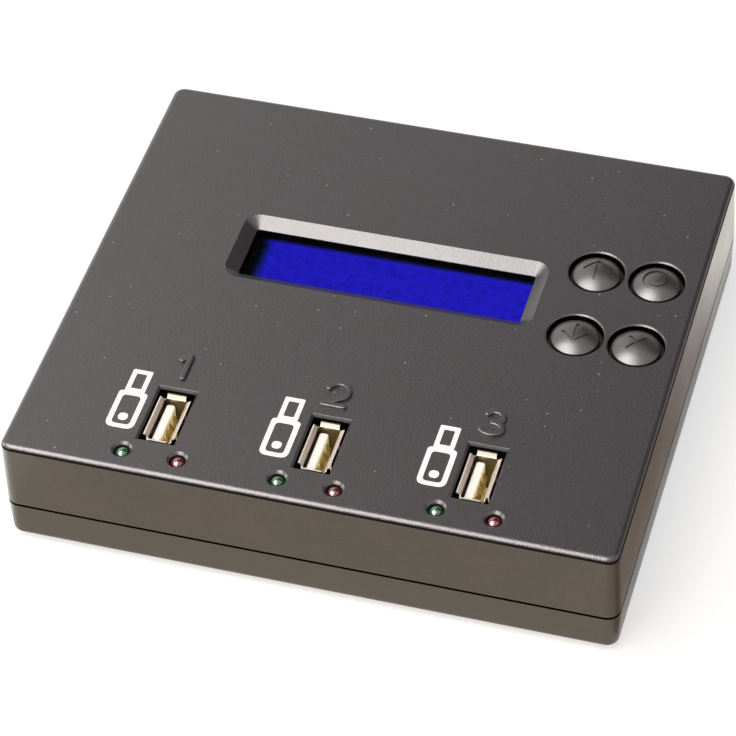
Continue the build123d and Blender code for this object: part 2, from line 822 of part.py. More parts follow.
# Sockets: shell, insulator with its tongue, and four contacts each
tongue_tip_z = mouth_z - tongue_sink
contact_top_z = tongue_tip_z - contact_top_gap
insulator_top_z = board_top + insulator_base_h
tongue_x = -shell_inner_w / 2 + tongue_gap + tongue_t / 2
tab_top_z = mouth_z - flare - shell_t - tab_cut
tab_root_z = tab_top_z - tab_l
tab_apex_z = tab_top_z - tab_apex
for number, x in enumerate(socket_xs, 1):
    middle = (x, socket_y)
    with BuildPart() as usb_shell:
        with BuildSketch(Plane.XY.offset(board_top)):
            with Locations(middle):
                RectangleRounded(shell_w, shell_l, 2 * shell_t)
        extrude(amount=mouth_z - board_top)
        with BuildSketch(Plane.XY.offset(mouth_z - flare)):
            with Locations(middle):
                RectangleRounded(shell_w, shell_l, 2 * shell_t)
        with BuildSketch(Plane.XY.offset(mouth_z)):
            with Locations(middle):
                RectangleRounded(mouth_w, mouth_l, 2 * shell_t)
        loft()
        with BuildSketch(Plane.XY.offset(board_top)):
            with Locations(middle):
                RectangleRounded(shell_inner_w, shell_inner_l, shell_t)
        extrude(amount=mouth_z - board_top, mode=Mode.SUBTRACT)
        with BuildSketch(Plane.XY.offset(mouth_z - flare)):
            with Locations(middle):
                RectangleRounded(shell_inner_w, shell_inner_l, shell_t)
        with BuildSketch(Plane.XY.offset(mouth_z)):
            with Locations(middle):
                RectangleRounded(mouth_w - 2 * shell_t, mouth_l - 2 * shell_t, shell_t)
        loft(mode=Mode.SUBTRACT)
        with BuildSketch(Plane.XY.offset(mouth_z - flare - shell_t)):
            with Locations(*[(x + a, socket_y + b) for a, b in mirrored(mouth_w / 2, mouth_l / 2)]):
                Rectangle(2 * lip_notch, 2 * lip_notch)
        extrude(amount=flare + shell_t, mode=Mode.SUBTRACT)
        with BuildSketch(Plane.YZ.offset(x)):
            with Locations(*[(socket_y + s * tab_pitch / 2, tab_top_z) for s in (-1, 1)]):
                Rectangle(tab_w + 2 * tab_cut, tab_l + tab_cut, align=(Align.CENTER, Align.MAX))
        extrude(amount=shell_w, both=True, mode=Mode.SUBTRACT)
        for s in (-1, 1):
            with BuildSketch(Plane.XZ.offset(-(socket_y + s * tab_pitch / 2))):
                spring_tab(x, 1, tab_bulge)
                spring_tab(x, -1, tab_back_bulge)
            extrude(amount=tab_w / 2, both=True)
        with BuildSketch(Plane.XY.offset(board_top - shell_leg_l)):
            with Locations(*leg_pair(x)):
                Rectangle(shell_leg_w, shell_t)
        extrude(amount=shell_leg_l)
    save(usb_shell, f"usb_shell_{number}")

    with BuildPart() as usb_insulator:
        with BuildSketch(Plane.XY.offset(board_top)):
            with Locations(middle):
                Rectangle(
                    shell_inner_w - 2 * insulator_clearance,
                    shell_inner_l - 2 * insulator_clearance - 2 * shell_t,
                )
        extrude(amount=insulator_base_h)
        with BuildSketch(Plane.XY.offset(insulator_top_z)):
            with Locations((x + tongue_x, socket_y)):
                RectangleRounded(tongue_t, tongue_w, tongue_corner_r)
        extrude(amount=tongue_tip_z - insulator_top_z)
        chamfer(edges().group_by(Axis.Z)[-1], tongue_bevel)
        with BuildSketch(Plane.XY.offset(board_top)):
            with Locations(*contact_row(x)):
                Rectangle(contact_t + 2 * contact_clearance, contact_w + 2 * contact_clearance)
        extrude(amount=contact_top_z + contact_clearance - board_top, mode=Mode.SUBTRACT)
    save(usb_insulator, f"usb_insulator_{number}")

    with BuildPart() as usb_contacts:
        with BuildSketch(Plane.XY.offset(board_bottom - tail_l)):
            with Locations(*contact_row(x)):
                Rectangle(contact_t, contact_w)
        extrude(amount=contact_top_z - board_bottom + tail_l)
        for offset_y in contact_offsets:
            with BuildSketch(Plane.XZ.offset(-(socket_y + offset_y))):
                with BuildLine():
                    Polyline(
                        (x + contact_x, contact_top_z),
                        (x + contact_x + contact_bump, contact_top_z - contact_bump_l / 2),
                        (x + contact_x, contact_top_z - contact_bump_l),
                        close=True,
                    )
                make_face()
            extrude(amount=contact_w / 2, both=True)
    save(usb_contacts, f"usb_contacts_{number}")


# Lamps
def lamp(name, place):
    """A round lamp with its flange and dome."""
    with BuildPart() as body:
        with BuildSketch(Plane.XY.offset(led_bottom)):
            with Locations(place):
                Circle(led_flange_d / 2)
        extrude(amount=led_flange_h)
        with BuildSketch(Plane.XY.offset(led_bottom)):
            with Locations(place):
                Circle(led_d / 2)
        extrude(amount=led_body_h - led_d / 2)
        with Locations((*place, led_top - led_d / 2)):
            Sphere(led_d / 2)
    save(body, name)


for number, place in enumerate(green_led_places, 1):
    lamp(f"green_led_{number}", place)
for number, place in enumerate(red_led_places, 1):
    lamp(f"red_led_{number}", place)

with BuildPart() as led_leads:
    with BuildSketch(Plane.XY.offset(board_bottom - tail_l)):
        with Locations(*lead_places):
            Rectangle(lead_w, lead_w)
    extrude(amount=led_bottom - board_bottom + tail_l)
save(led_leads, "led_leads")

with BuildPart() as led_spacers:
    with BuildSketch(Plane.XY.offset(board_top)):
        with Locations(*led_places):
            Circle(led_spacer_d / 2)
            Circle(led_spacer_bore / 2, mode=Mode.SUBTRACT)
    extrude(amount=led_bottom - board_top)
save(led_spacers, "led_spacers")

# Push buttons: cap, plunger and key switch at each place
for name, place in button_places.items():
    with BuildPart() as icon_cutter:
        with BuildSketch(Plane((*place, cap_rim_z))):
            stroked(*icon_strokes[name])
        extrude(amount=2 * cap_dome)
        with Locations((*place, cap_rim_z + cap_dome - dome_ball_r)):
            Sphere(dome_ball_r - icon_depth, mode=Mode.SUBTRACT)
    with BuildPart() as button:
        with BuildSketch(Plane((*place, 0), x_dir=(1, 0, 0), z_dir=(0, -1, 0))):
            with BuildLine():
                Line((0, cap_bottom), (cap_d / 2, cap_bottom))
                Line((cap_d / 2, cap_bottom), (cap_d / 2, cap_rim_z))
                RadiusArc((cap_d / 2, cap_rim_z), (0, cap_rim_z + cap_dome), -dome_ball_r)
                Line((0, cap_rim_z + cap_dome), (0, cap_bottom))
            make_face()
            fillet(vertices().sort_by_distance((cap_d / 2, cap_rim_z))[0], cap_edge_r)
        revolve(axis=Axis((*place, 0), (0, 0, 1)))
        with BuildSketch(Plane.XY.offset(cap_flange_top - cap_flange_h)):
            with Locations(place):
                Circle(cap_flange_d / 2)
        extrude(amount=cap_flange_h)
        with BuildSketch(Plane.XY.offset(cap_bottom)):
            with Locations(place):
                Circle(plunger_d / 2 + screw_play)
        extrude(amount=plunger_bite, mode=Mode.SUBTRACT)
        add(icon_cutter.part, mode=Mode.SUBTRACT)
    save(button, f"{name}_button")

    with BuildPart() as plunger:
        with BuildSketch(Plane.XY.offset(cover_z - cover_gap - plunger_flange_h)):
            with Locations(place):
                Circle(plunger_flange_d / 2)
        extrude(amount=plunger_flange_h)
        with BuildSketch(Plane.XY.offset(cover_z - cover_gap)):
            with Locations(place):
                Circle(plunger_d / 2)
        extrude(amount=plunger_top - cover_z + cover_gap)
    save(plunger, f"{name}_plunger")

    with BuildPart() as switch_base:
        with BuildSketch(Plane.XY.offset(board_top)):
            with Locations(place):
                Rectangle(switch_w, switch_w)
        extrude(amount=switch_h)
        with BuildSketch(Plane.XY.offset(board_top + switch_floor)):
            with Locations(place):
                Circle(switch_cavity_d / 2)
        extrude(amount=switch_h - switch_floor, mode=Mode.SUBTRACT)
    save(switch_base, f"{name}_switch_base")

with BuildPart() as switch_covers:
    with BuildSketch(Plane.XY.offset(cover_z)):
        with Locations(*button_places.values()):
            Rectangle(switch_w, switch_w)
            Circle(plunger_d / 2 + running_fit, mode=Mode.SUBTRACT)
    extrude(amount=cover_t)
save(switch_covers, "switch_covers")

# Snap domes, drawn pressed flat enough to clear the plungers at full travel
spring_ball_r = (dome_d**2 / 4 + dome_rise**2) / (2 * dome_rise)
with BuildPart() as switch_domes:
    for place in button_places.values():
        floor = board_top + switch_floor
        with BuildSketch(Plane((*place, floor), x_dir=(1, 0, 0), z_dir=(0, -1, 0))):
            with BuildLine():
                RadiusArc((dome_d / 2, 0), (0, dome_rise), -spring_ball_r)
                Line((0, dome_rise), (0, dome_rise + dome_t))
                RadiusArc((0, dome_rise + dome_t), (dome_d / 2, dome_t), spring_ball_r)
                Line((dome_d / 2, dome_t), (dome_d / 2, 0))
            make_face()
        revolve(axis=Axis((*place, 0), (0, 0, 1)))
save(switch_domes, "switch_domes")

with BuildPart() as switch_terminals:
    with BuildSketch(Plane.XY.offset(board_bottom - tail_l)):
        with Locations(*terminal_places):
            Rectangle(terminal_t, terminal_w)
    extrude(amount=board_t + tail_l + terminal_grip)
    with BuildSketch(Plane.XY.offset(board_bottom - tail_l)):
        with Locations(*slider_terminal_places):
            Rectangle(terminal_w, terminal_t)
    extrude(amount=board_t + tail_l + terminal_grip)
save(switch_terminals, "switch_terminals")

# Power inlet: housing, centre pin and contact spring
with BuildPart() as dc_jack_housing:
    with BuildSketch(Plane.XY.offset(board_top)):
        with Locations((jack_x, jack_mouth_y - jack_l / 2)):
            Rectangle(jack_w, jack_l)
    extrude(amount=jack_h)
    fillet(edges().group_by(Axis.Z)[-1], edge_bevel)
    with BuildSketch(Plane.XZ.offset(-jack_mouth_y)):
        with Locations((jack_x, jack_z)):
            Circle(jack_bore_d / 2)
        with Locations((jack_x, jack_z - jack_bore_d / 2)):
            Rectangle(spring_w + 2 * tail_clearance, 2 * spring_sink)
    extrude(amount=jack_bore_l, mode=Mode.SUBTRACT)
    with BuildSketch(Plane.XZ.offset(-jack_mouth_y)):
        with Locations((jack_x, jack_z)):
            Circle(jack_pin_d / 2 + screw_play)
    extrude(amount=jack_l, mode=Mode.SUBTRACT)
    with BuildSketch(Plane.XY.offset(board_top)):
        with Locations((jack_x, spring_tail_y)):
            Rectangle(spring_w + 2 * tail_clearance, spring_t + 2 * tail_clearance)
    extrude(amount=jack_axis_h - jack_bore_d / 2, mode=Mode.SUBTRACT)
save(dc_jack_housing, "dc_jack_housing")

with BuildPart() as dc_jack_pin:
    with BuildSketch(Plane.XZ.offset(-(jack_mouth_y - jack_pin_sink))):
        with Locations((jack_x, jack_z)):
            Circle(jack_pin_d / 2)
    extrude(amount=jack_l - jack_pin_sink + spring_t)
    fillet(edges().group_by(Axis.Y)[-1], jack_pin_d / 4)
    with BuildSketch(Plane.XY.offset(board_bottom - tail_l)):
        with Locations((jack_x, pin_tail_y)):
            Rectangle(spring_w, spring_t)
    extrude(amount=jack_z + jack_pin_d / 2 - board_bottom + tail_l)
save(dc_jack_pin, "dc_jack_pin")

with BuildPart() as dc_jack_spring:
    with BuildSketch(Plane.YZ.offset(jack_x)):
        with BuildLine():
            Polyline(
                (spring_tail_y - spring_t / 2, board_bottom - tail_l),
                (spring_tail_y + spring_t / 2, board_bottom - tail_l),
                (spring_tail_y + spring_t / 2, spring_z - spring_t),
                (jack_mouth_y - 2 * jack_pin_sink, spring_z - spring_t),
                (jack_mouth_y - 2 * jack_pin_sink, spring_z),
                (spring_tail_y - spring_t / 2, spring_z),
                close=True,
            )
        make_face()
    extrude(amount=spring_w / 2, both=True)
save(dc_jack_spring, "dc_jack_spring")

# Power slide switch: base, metal frame and moving knob
slider_mid_y = slider_face_y - slider_d / 2
bay_w = carriage_w + slider_travel + 2 * slider_play
bay_floor_z = board_top + slider_wall
bay_top_z = board_top + slider_h - slider_skin - slider_wall
bay_back_y = slider_back_y + slider_skin + slider_wall
with BuildPart() as power_switch_base:
    with BuildSketch(Plane.XY.offset(board_top)):
        with Locations((slider_x, slider_mid_y)):
            Rectangle(slider_w - 2 * slider_skin, slider_d - 2 * slider_skin)
    extrude(amount=slider_h - slider_skin)
    with BuildSketch(Plane.XY.offset(bay_floor_z)):
        with Locations((slider_x, bay_back_y)):
            Rectangle(bay_w, slider_d, align=(Align.CENTER, Align.MIN))
    extrude(amount=bay_top_z - bay_floor_z, mode=Mode.SUBTRACT)
save(power_switch_base, "power_switch_base")

with BuildPart() as power_switch_frame:
    with BuildSketch(Plane.XY.offset(board_top)):
        with Locations((slider_x, slider_mid_y)):
            Rectangle(slider_w, slider_d)
    extrude(amount=slider_h)
    with BuildSketch(Plane.XY.offset(board_top)):
        with Locations((slider_x, slider_mid_y)):
            Rectangle(slider_w - 2 * slider_skin, slider_d - 2 * slider_skin)
    extrude(amount=slider_h - slider_skin, mode=Mode.SUBTRACT)
    with BuildSketch(Plane.XZ.offset(-slider_face_y)):
        with Locations((slider_x, slider_z)):
            Rectangle(knob_w + slider_travel + 2 * knob_frame_gap, knob_h + 2 * knob_frame_gap)
    extrude(amount=2 * slider_skin, mode=Mode.SUBTRACT)
save(power_switch_frame, "power_switch_frame")

knob_x = slider_x - slider_travel / 2
knob_end_y = case_d / 2 - wall_lean(slider_z + finger_h / 2) - knob_sink
with BuildPart() as power_switch_knob:
    with BuildSketch(Plane.XY.offset(bay_floor_z + slider_play)):
        with Locations((knob_x, bay_back_y + slider_play)):
            Rectangle(
                carriage_w,
                slider_face_y - slider_skin - slider_play - bay_back_y - slider_play,
                align=(Align.CENTER, Align.MIN),
            )
    extrude(amount=bay_top_z - bay_floor_z - 2 * slider_play)
    with BuildSketch(Plane.XZ.offset(-knob_end_y)):
        with Locations((knob_x, slider_z)):
            Rectangle(knob_w, knob_h)
    extrude(amount=knob_end_y - slider_mid_y)
    fillet(edges().group_by(Axis.Y)[-1], knob_edge_r)
save(power_switch_knob, "power_switch_knob")

# Board components
chip_y = (window_y - lcd_board_d / 2 + slot_y + slot_l / 2) / 2
with BuildPart() as controller_chip:
    with BuildSketch(Plane.XY.offset(board_top)):
        with Locations((-chip_spread / 2, chip_y)):
            Rectangle(chip_w, chip_w)
    extrude(amount=chip_h)
    chamfer(edges().group_by(Axis.Z)[-1], chip_h / 5)
save(controller_chip, "controller_chip")

with BuildPart() as memory_chip:
    with BuildSketch(Plane.XY.offset(board_top)):
        with Locations((chip_spread / 2, chip_y)):
            Rectangle(memory_w, memory_d)
    extrude(amount=memory_h)
    chamfer(edges().group_by(Axis.Z)[-1], memory_h / 5)
save(memory_chip, "memory_chip")

with BuildPart() as crystal:
    with BuildSketch(Plane.XY.offset(board_top)):
        with Locations((-chip_spread / 2 - chip_w, chip_y)):
            SlotOverall(crystal_w, crystal_d, rotation=90)
    extrude(amount=crystal_h)
    fillet(edges().group_by(Axis.Z)[-1], crystal_h / 8)
save(crystal, "crystal")

can_y = window_y + lcd_board_d / 2 + can_d
with BuildPart() as capacitors:
    with BuildSketch(Plane.XY.offset(board_top)):
        with Locations(*[(slider_x + o, can_y) for o in row(can_count, can_pitch)]):
            Circle(can_d / 2)
    extrude(amount=can_h)
    fillet(edges().group_by(Axis.Z)[-1], can_d / 16)
save(capacitors, "capacitors")
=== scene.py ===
import json
import math

import bpy
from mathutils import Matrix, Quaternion, Vector


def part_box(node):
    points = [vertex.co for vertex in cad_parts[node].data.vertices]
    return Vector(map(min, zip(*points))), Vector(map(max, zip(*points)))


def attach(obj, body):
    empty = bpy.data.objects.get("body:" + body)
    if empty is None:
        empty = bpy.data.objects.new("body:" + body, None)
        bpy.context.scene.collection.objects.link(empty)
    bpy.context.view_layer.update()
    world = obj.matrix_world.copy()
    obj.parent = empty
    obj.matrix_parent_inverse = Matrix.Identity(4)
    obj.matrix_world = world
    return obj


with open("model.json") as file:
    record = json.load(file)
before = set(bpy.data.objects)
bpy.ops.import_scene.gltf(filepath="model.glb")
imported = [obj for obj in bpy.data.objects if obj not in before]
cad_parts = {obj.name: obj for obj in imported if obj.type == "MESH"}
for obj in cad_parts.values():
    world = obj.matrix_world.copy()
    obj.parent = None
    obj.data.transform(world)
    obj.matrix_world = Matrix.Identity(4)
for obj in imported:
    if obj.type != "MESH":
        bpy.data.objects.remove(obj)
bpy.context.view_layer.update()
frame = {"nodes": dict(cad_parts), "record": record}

mm = 0.001

# Camera, solved from the straight edges of the case in the photograph, its roll in degrees
camera_place = Vector((159.95, -488.88, 534.83)) * mm
camera_aim = Vector((-1.675, -6.218, 15.0)) * mm
camera_roll = -3.3035
camera_focal_pixels = 3197.8
image_width = 736
sensor_width = 36.0

# The top face and the signs printed on it, in millimetres
top_face_z = 29.4
socket_slots_x = (-35.95, -0.65, 34.65)
stick_sign_offset_x = -9.3
stick_sign_y = -41.2
sign_ink_t = 0.03

# Where shade is painted on the case, in millimetres, and how strongly on the sockets' bevels
hole_wall_r = 6.45
hole_wall_top_z = 29.1
parting_z = 11.15
parting_groove_half_h = 0.34
edge_line_z = 28.45
edge_line_full = 0.2
edge_line_none = 0.45
rim_from_x = 67.2
rim_from_y = 59.7
socket_bevel_y = -35.9
socket_bevel_half_w = 0.3
socket_bevel_shade = 0.55

# The socket shells, in millimetres: where the painted shade inside them starts, and the lip at the back,
# which is painted darker
inner_shade_full_z = 27.7
inner_shade_none_z = 28.3
lip_from_y = -38.3
lip_full_y = -37.9

# A wall faces left, or to the front, where the X or the Y of its normal is below this
facing_limit = -0.7

# The lit field of the display, in millimetres
lit_length = 66.2
lit_width = 16.2
dark_edge = 0.2
lit_fade = 4.2
spill_overlap = 0.1
spill_width = 1.5
dot_pitch_x = 0.6
dot_pitch_y = 0.7
dot_gap = 0.02
dot_full = 0.1

# A wave texture at scale 1 repeats each time that its coordinate grows by this
wave_period = 0.31

# Places of a Mix node's inputs and outputs, several of which share a name
mix_share = 0
number_a = 2
number_b = 3
colour_a = 6
colour_b = 7
mixed_number = 0
mixed_colour = 2

# Reflection cards, in metres: how far above the floor those on it lie, and the side board's ends
card_lift = 0.0004
side_board_front_y = -0.09
side_board_back_y = 0.15


def linear(colour):
    """Linear RGBA of an sRGB colour written as six hex digits."""
    channels = [int(colour[i : i + 2], 16) / 255 for i in (0, 2, 4)]
    return (*[c / 12.92 if c <= 0.04045 else ((c + 0.055) / 1.055) ** 2.4 for c in channels], 1.0)


def fill(node, inputs):
    """Gives a node's inputs, by name or by place, their values and links."""
    for key, value in inputs.items():
        if isinstance(value, bpy.types.NodeSocket):
            node.id_data.links.new(value, node.inputs[key])
        else:
            node.inputs[key].default_value = value


def add(tree, kind, inputs=None, **settings):
    """Adds a node with its settings, values and links."""
    node = tree.nodes.new(kind)
    for name, value in settings.items():
        setattr(node, name, value)
    fill(node, inputs or {})
    return node


def new_material(name):
    """A node material, its tree, its shader and the place on the object that patterns follow."""
    material = bpy.data.materials.new(name)
    material.use_nodes = True
    tree = material.node_tree
    return material, tree, tree.nodes["Principled BSDF"], add(tree, "ShaderNodeTexCoord").outputs["Object"]


def painted_shade(tree, place):
    """How much shade is painted at a place on the case, from 0 to 1: most on the walls of the button
    holes and in the parting groove, where shade falls, then in a thin painted dark line that stands
    for a dark reflection, low on the rounded edge of the top, and least on the bevel behind each
    socket, which is painted darker to dim its reflection."""
    parts = add(tree, "ShaderNodeSeparateXYZ", {0: place})
    low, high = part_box("up_button")
    back_left = (low + high) / 2
    low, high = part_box("cancel_button")
    front_right = (low + high) / 2
    middle = (back_left + front_right) / 2
    half_pitch = (front_right.x - middle.x, back_left.y - middle.y, 0.0)
    # Folded about the point midway between them, the four button holes come to lie on one
    from_middle = add(tree, "ShaderNodeVectorMath", {0: place, 1: middle}, operation="SUBTRACT")
    folded = add(tree, "ShaderNodeVectorMath", {0: from_middle.outputs[0]}, operation="ABSOLUTE")
    from_hole = add(
        tree,
        "ShaderNodeVectorMath",
        {0: folded.outputs[0], 1: half_pitch},
        operation="SUBTRACT",
    )
    flat = add(
        tree,
        "ShaderNodeVectorMath",
        {0: from_hole.outputs[0], 1: (1.0, 1.0, 0.0)},
        operation="MULTIPLY",
    )
    radius = add(tree, "ShaderNodeVectorMath", {0: flat.outputs[0]}, operation="LENGTH")
    # Painted shade on the walls of the button holes, below their rims
    in_hole = add(
        tree,
        "ShaderNodeMath",
        {0: radius.outputs["Value"], 1: hole_wall_r * mm},
        operation="LESS_THAN",
    )
    below_rim = add(
        tree,
        "ShaderNodeMath",
        {0: parts.outputs["Z"], 1: hole_wall_top_z * mm},
        operation="LESS_THAN",
    )
    on_wall = add(
        tree,
        "ShaderNodeMath",
        {0: in_hole.outputs[0], 1: below_rim.outputs[0]},
        operation="MULTIPLY",
    )
    # Painted shade in the parting groove
    in_groove = add(
        tree,
        "ShaderNodeMath",
        {0: parts.outputs["Z"], 1: parting_z * mm, 2: parting_groove_half_h * mm},
        operation="COMPARE",
    )
    # The rim of the case is all that lies farther out than these two distances
    sideways = add(tree, "ShaderNodeVectorMath", {0: place}, operation="ABSOLUTE")
    beyond = add(
        tree,
        "ShaderNodeVectorMath",
        {0: sideways.outputs[0], 1: (rim_from_x * mm, rim_from_y * mm, 0.0)},
        operation="SUBTRACT",
    )
    outward = add(tree, "ShaderNodeSeparateXYZ", {0: beyond.outputs[0]})
    farthest = add(
        tree,
        "ShaderNodeMath",
        {0: outward.outputs["X"], 1: outward.outputs["Y"]},
        operation="MAXIMUM",
    )
    on_rim = add(tree, "ShaderNodeMath", {0: farthest.outputs[0], 1: 0.0}, operation="GREATER_THAN")
    # A painted dark line low on the rounded top edge, standing for a dark reflection there
    above_edge_line = add(
        tree,
        "ShaderNodeMath",
        {0: parts.outputs["Z"], 1: edge_line_z * mm},
        operation="SUBTRACT",
    )
    off_edge_line = add(tree, "ShaderNodeMath", {0: above_edge_line.outputs[0]}, operation="ABSOLUTE")
    near_edge_line = add(
        tree,
        "ShaderNodeMapRange",
        {
            "Value": off_edge_line.outputs[0],
            "From Min": edge_line_full * mm,
            "From Max": edge_line_none * mm,
            "To Min": 0.9,
            "To Max": 0.0,
        },
    )
    on_edge_line = add(
        tree,
        "ShaderNodeMath",
        {0: on_rim.outputs[0], 1: near_edge_line.outputs[0]},
        operation="MULTIPLY",
    )
    # The bevel behind each socket is painted darker to dim its reflection, but not on the rim
    near_bevel = add(
        tree,
        "ShaderNodeMath",
        {0: parts.outputs["Y"], 1: socket_bevel_y * mm, 2: socket_bevel_half_w * mm},
        operation="COMPARE",
    )
    below_top = add(
        tree,
        "ShaderNodeMath",
        {0: parts.outputs["Z"], 1: (top_face_z - 0.05) * mm},
        operation="LESS_THAN",
    )
    on_bevel = add(
        tree,
        "ShaderNodeMath",
        {0: near_bevel.outputs[0], 1: below_top.outputs[0]},
        operation="MULTIPLY",
    )
    bevel_shade = add(
        tree,
        "ShaderNodeMath",
        {0: socket_bevel_shade, 1: on_rim.outputs[0]},
        operation="SUBTRACT",
        use_clamp=True,
    )
    bevel_shaded = add(
        tree,
        "ShaderNodeMath",
        {0: on_bevel.outputs[0], 1: bevel_shade.outputs[0]},
        operation="MULTIPLY",
    )
    most = on_wall
    for share in (in_groove, on_edge_line, bevel_shaded):
        most = add(
            tree,
            "ShaderNodeMath",
            {0: most.outputs[0], 1: share.outputs[0]},
            operation="MAXIMUM",
        )
    return most.outputs[0]


def case_abs():
    """ABS from a spark-eroded mould: a warm dark grey, slightly cloudy where the melt flowed, whose
    fine grain spreads every highlight, with painted shade in its holes and groove, a painted dark
    line low on its rounded top edge, and pale specks on its top."""
    material, tree, shader, place = new_material("moulded_abs_case")
    cloud = add(tree, "ShaderNodeTexNoise", {"Vector": place, "Scale": 1 / (14 * mm), "Detail": 4.0})
    drift = add(tree, "ShaderNodeTexNoise", {"Vector": place, "Scale": 1 / (3.5 * mm), "Detail": 2.0})
    mottle = add(tree, "ShaderNodeTexNoise", {"Vector": place, "Scale": 1 / (0.5 * mm), "Detail": 1.0})
    warm = add(
        tree,
        "ShaderNodeMix",
        {mix_share: drift.outputs["Fac"], colour_a: linear("332e30"), colour_b: linear("353033")},
        data_type="RGBA",
    )
    mixed_scales = add(
        tree,
        "ShaderNodeMix",
        {mix_share: 0.6, number_a: cloud.outputs["Fac"], number_b: mottle.outputs["Fac"]},
    )
    depth = add(
        tree,
        "ShaderNodeMapRange",
        {
            "Value": mixed_scales.outputs[mixed_number],
            "From Min": 0.3,
            "From Max": 0.7,
            "To Min": 0.75,
            "To Max": 1.25,
        },
    )
    tone = add(
        tree,
        "ShaderNodeMix",
        {mix_share: 1.0, colour_a: warm.outputs[mixed_colour], colour_b: depth.outputs[0]},
        data_type="RGBA",
        blend_type="MULTIPLY",
    )
    # Pale specks of up to 0.3 mm radius, in cells of 4.5 mm, lie on the top face alone
    cells = add(
        tree,
        "ShaderNodeTexVoronoi",
        {"Vector": place, "Scale": 1 / (4.5 * mm), "Randomness": 1.0},
    )
    speck = add(
        tree,
        "ShaderNodeMapRange",
        {
            "Value": cells.outputs["Distance"],
            "From Min": 0.03,
            "From Max": 0.07,
            "To Min": 0.65,
            "To Max": 0.0,
        },
    )
    parts = add(tree, "ShaderNodeSeparateXYZ", {0: place})
    on_top = add(
        tree,
        "ShaderNodeMath",
        {0: parts.outputs["Z"], 1: (top_face_z - 0.1) * mm},
        operation="GREATER_THAN",
    )
    lying = add(
        tree,
        "ShaderNodeMath",
        {0: speck.outputs[0], 1: on_top.outputs[0]},
        operation="MULTIPLY",
    )
    specked = add(
        tree,
        "ShaderNodeMix",
        {mix_share: lying.outputs[0], colour_a: tone.outputs[mixed_colour], colour_b: linear("a09a94")},
        data_type="RGBA",
    )
    # Painted shade in the holes and the groove, and a painted dark line along the top edge
    shade_share = painted_shade(tree, place)
    shaded_colour = add(
        tree,
        "ShaderNodeMix",
        {mix_share: shade_share, colour_a: specked.outputs[mixed_colour], colour_b: linear("020202")},
        data_type="RGBA",
    )
    # The real grain is about 0.1 mm wide, and is drawn at 0.45 mm so that it shows
    grain = add(tree, "ShaderNodeTexNoise", {"Vector": place, "Scale": 1 / (0.45 * mm), "Detail": 2.0})
    bump = add(tree, "ShaderNodeBump", {"Height": grain.outputs["Fac"], "Distance": 0.05 * mm})
    gloss = add(
        tree,
        "ShaderNodeMapRange",
        {
            "Value": cloud.outputs["Fac"],
            "From Min": 0.3,
            "From Max": 0.7,
            "To Min": 0.34,
            "To Max": 0.29,
        },
    )
    dulled = add(
        tree,
        "ShaderNodeMix",
        {mix_share: shade_share, number_a: gloss.outputs[0], number_b: 0.9},
    )
    fill(
        shader,
        {
            "Base Color": shaded_colour.outputs[mixed_colour],
            # The painted shade is a black metal, which has no gloss of its own, so it takes the gloss away
            # too
            "Metallic": shade_share,
            "Roughness": dulled.outputs[mixed_number],
            "Specular IOR Level": 0.8,
            "IOR": 1.53,
            "Normal": bump.outputs["Normal"],
        },
    )
    return material


def button_abs():
    """ABS from a polished mould: the same dark grey as the case but glossy, so each dome carries a
    clear pale reflection, with faint rubbing marks from fingers."""
    material, tree, shader, place = new_material("polished_abs_button")
    rub = add(tree, "ShaderNodeTexNoise", {"Vector": place, "Scale": 1 / (2.2 * mm), "Detail": 4.0})
    tone = add(
        tree,
        "ShaderNodeMix",
        {mix_share: rub.outputs["Fac"], colour_a: linear("2e2a28"), colour_b: linear("37322f")},
        data_type="RGBA",
    )
    gloss = add(
        tree,
        "ShaderNodeMapRange",
        {"Value": rub.outputs["Fac"], "From Min": 0.35, "From Max": 0.65, "To Min": 0.33, "To Max": 0.39},
    )
    ripple = add(tree, "ShaderNodeTexNoise", {"Vector": place, "Scale": 1 / (0.6 * mm)})
    bump = add(tree, "ShaderNodeBump", {"Height": ripple.outputs["Fac"], "Distance": 0.004 * mm})
    fill(
        shader,
        {
            "Base Color": tone.outputs[mixed_colour],
            "Roughness": gloss.outputs[0],
            "Specular IOR Level": 1.0,
            "IOR": 1.53,
            "Normal": bump.outputs["Normal"],
        },
    )
    return material


def moulded_polyamide(name, dark, light, roughness):
    """Black moulded polyamide: nearly black and dull, with the slight mottling of a filled plastic."""
    material, tree, shader, place = new_material(name)
    mottle = add(tree, "ShaderNodeTexNoise", {"Vector": place, "Scale": 1 / (1.2 * mm), "Detail": 3.0})
    tone = add(
        tree,
        "ShaderNodeMix",
        {mix_share: mottle.outputs["Fac"], colour_a: linear(dark), colour_b: linear(light)},
        data_type="RGBA",
    )
    bump = add(tree, "ShaderNodeBump", {"Height": mottle.outputs["Fac"], "Distance": 0.01 * mm})
    fill(
        shader,
        {
            "Base Color": tone.outputs[mixed_colour],
            "Roughness": roughness,
            "Normal": bump.outputs["Normal"],
        },
    )
    return material


def foot_rubber():
    """Moulded synthetic rubber: matt near-black, with a little paler dust in its fine tooth."""
    material, tree, shader, place = new_material("moulded_rubber_foot")
    tooth = add(tree, "ShaderNodeTexNoise", {"Vector": place, "Scale": 1 / (0.5 * mm), "Detail": 3.0})
    tone = add(
        tree,
        "ShaderNodeMix",
        {mix_share: tooth.outputs["Fac"], colour_a: linear("161515"), colour_b: linear("2a2827")},
        data_type="RGBA",
    )
    bump = add(tree, "ShaderNodeBump", {"Height": tooth.outputs["Fac"], "Distance": 0.05 * mm})
    fill(
        shader,
        {
            "Base Color": tone.outputs[mixed_colour],
            "Roughness": 0.85,
            "Normal": bump.outputs["Normal"],
        },
    )
    return material


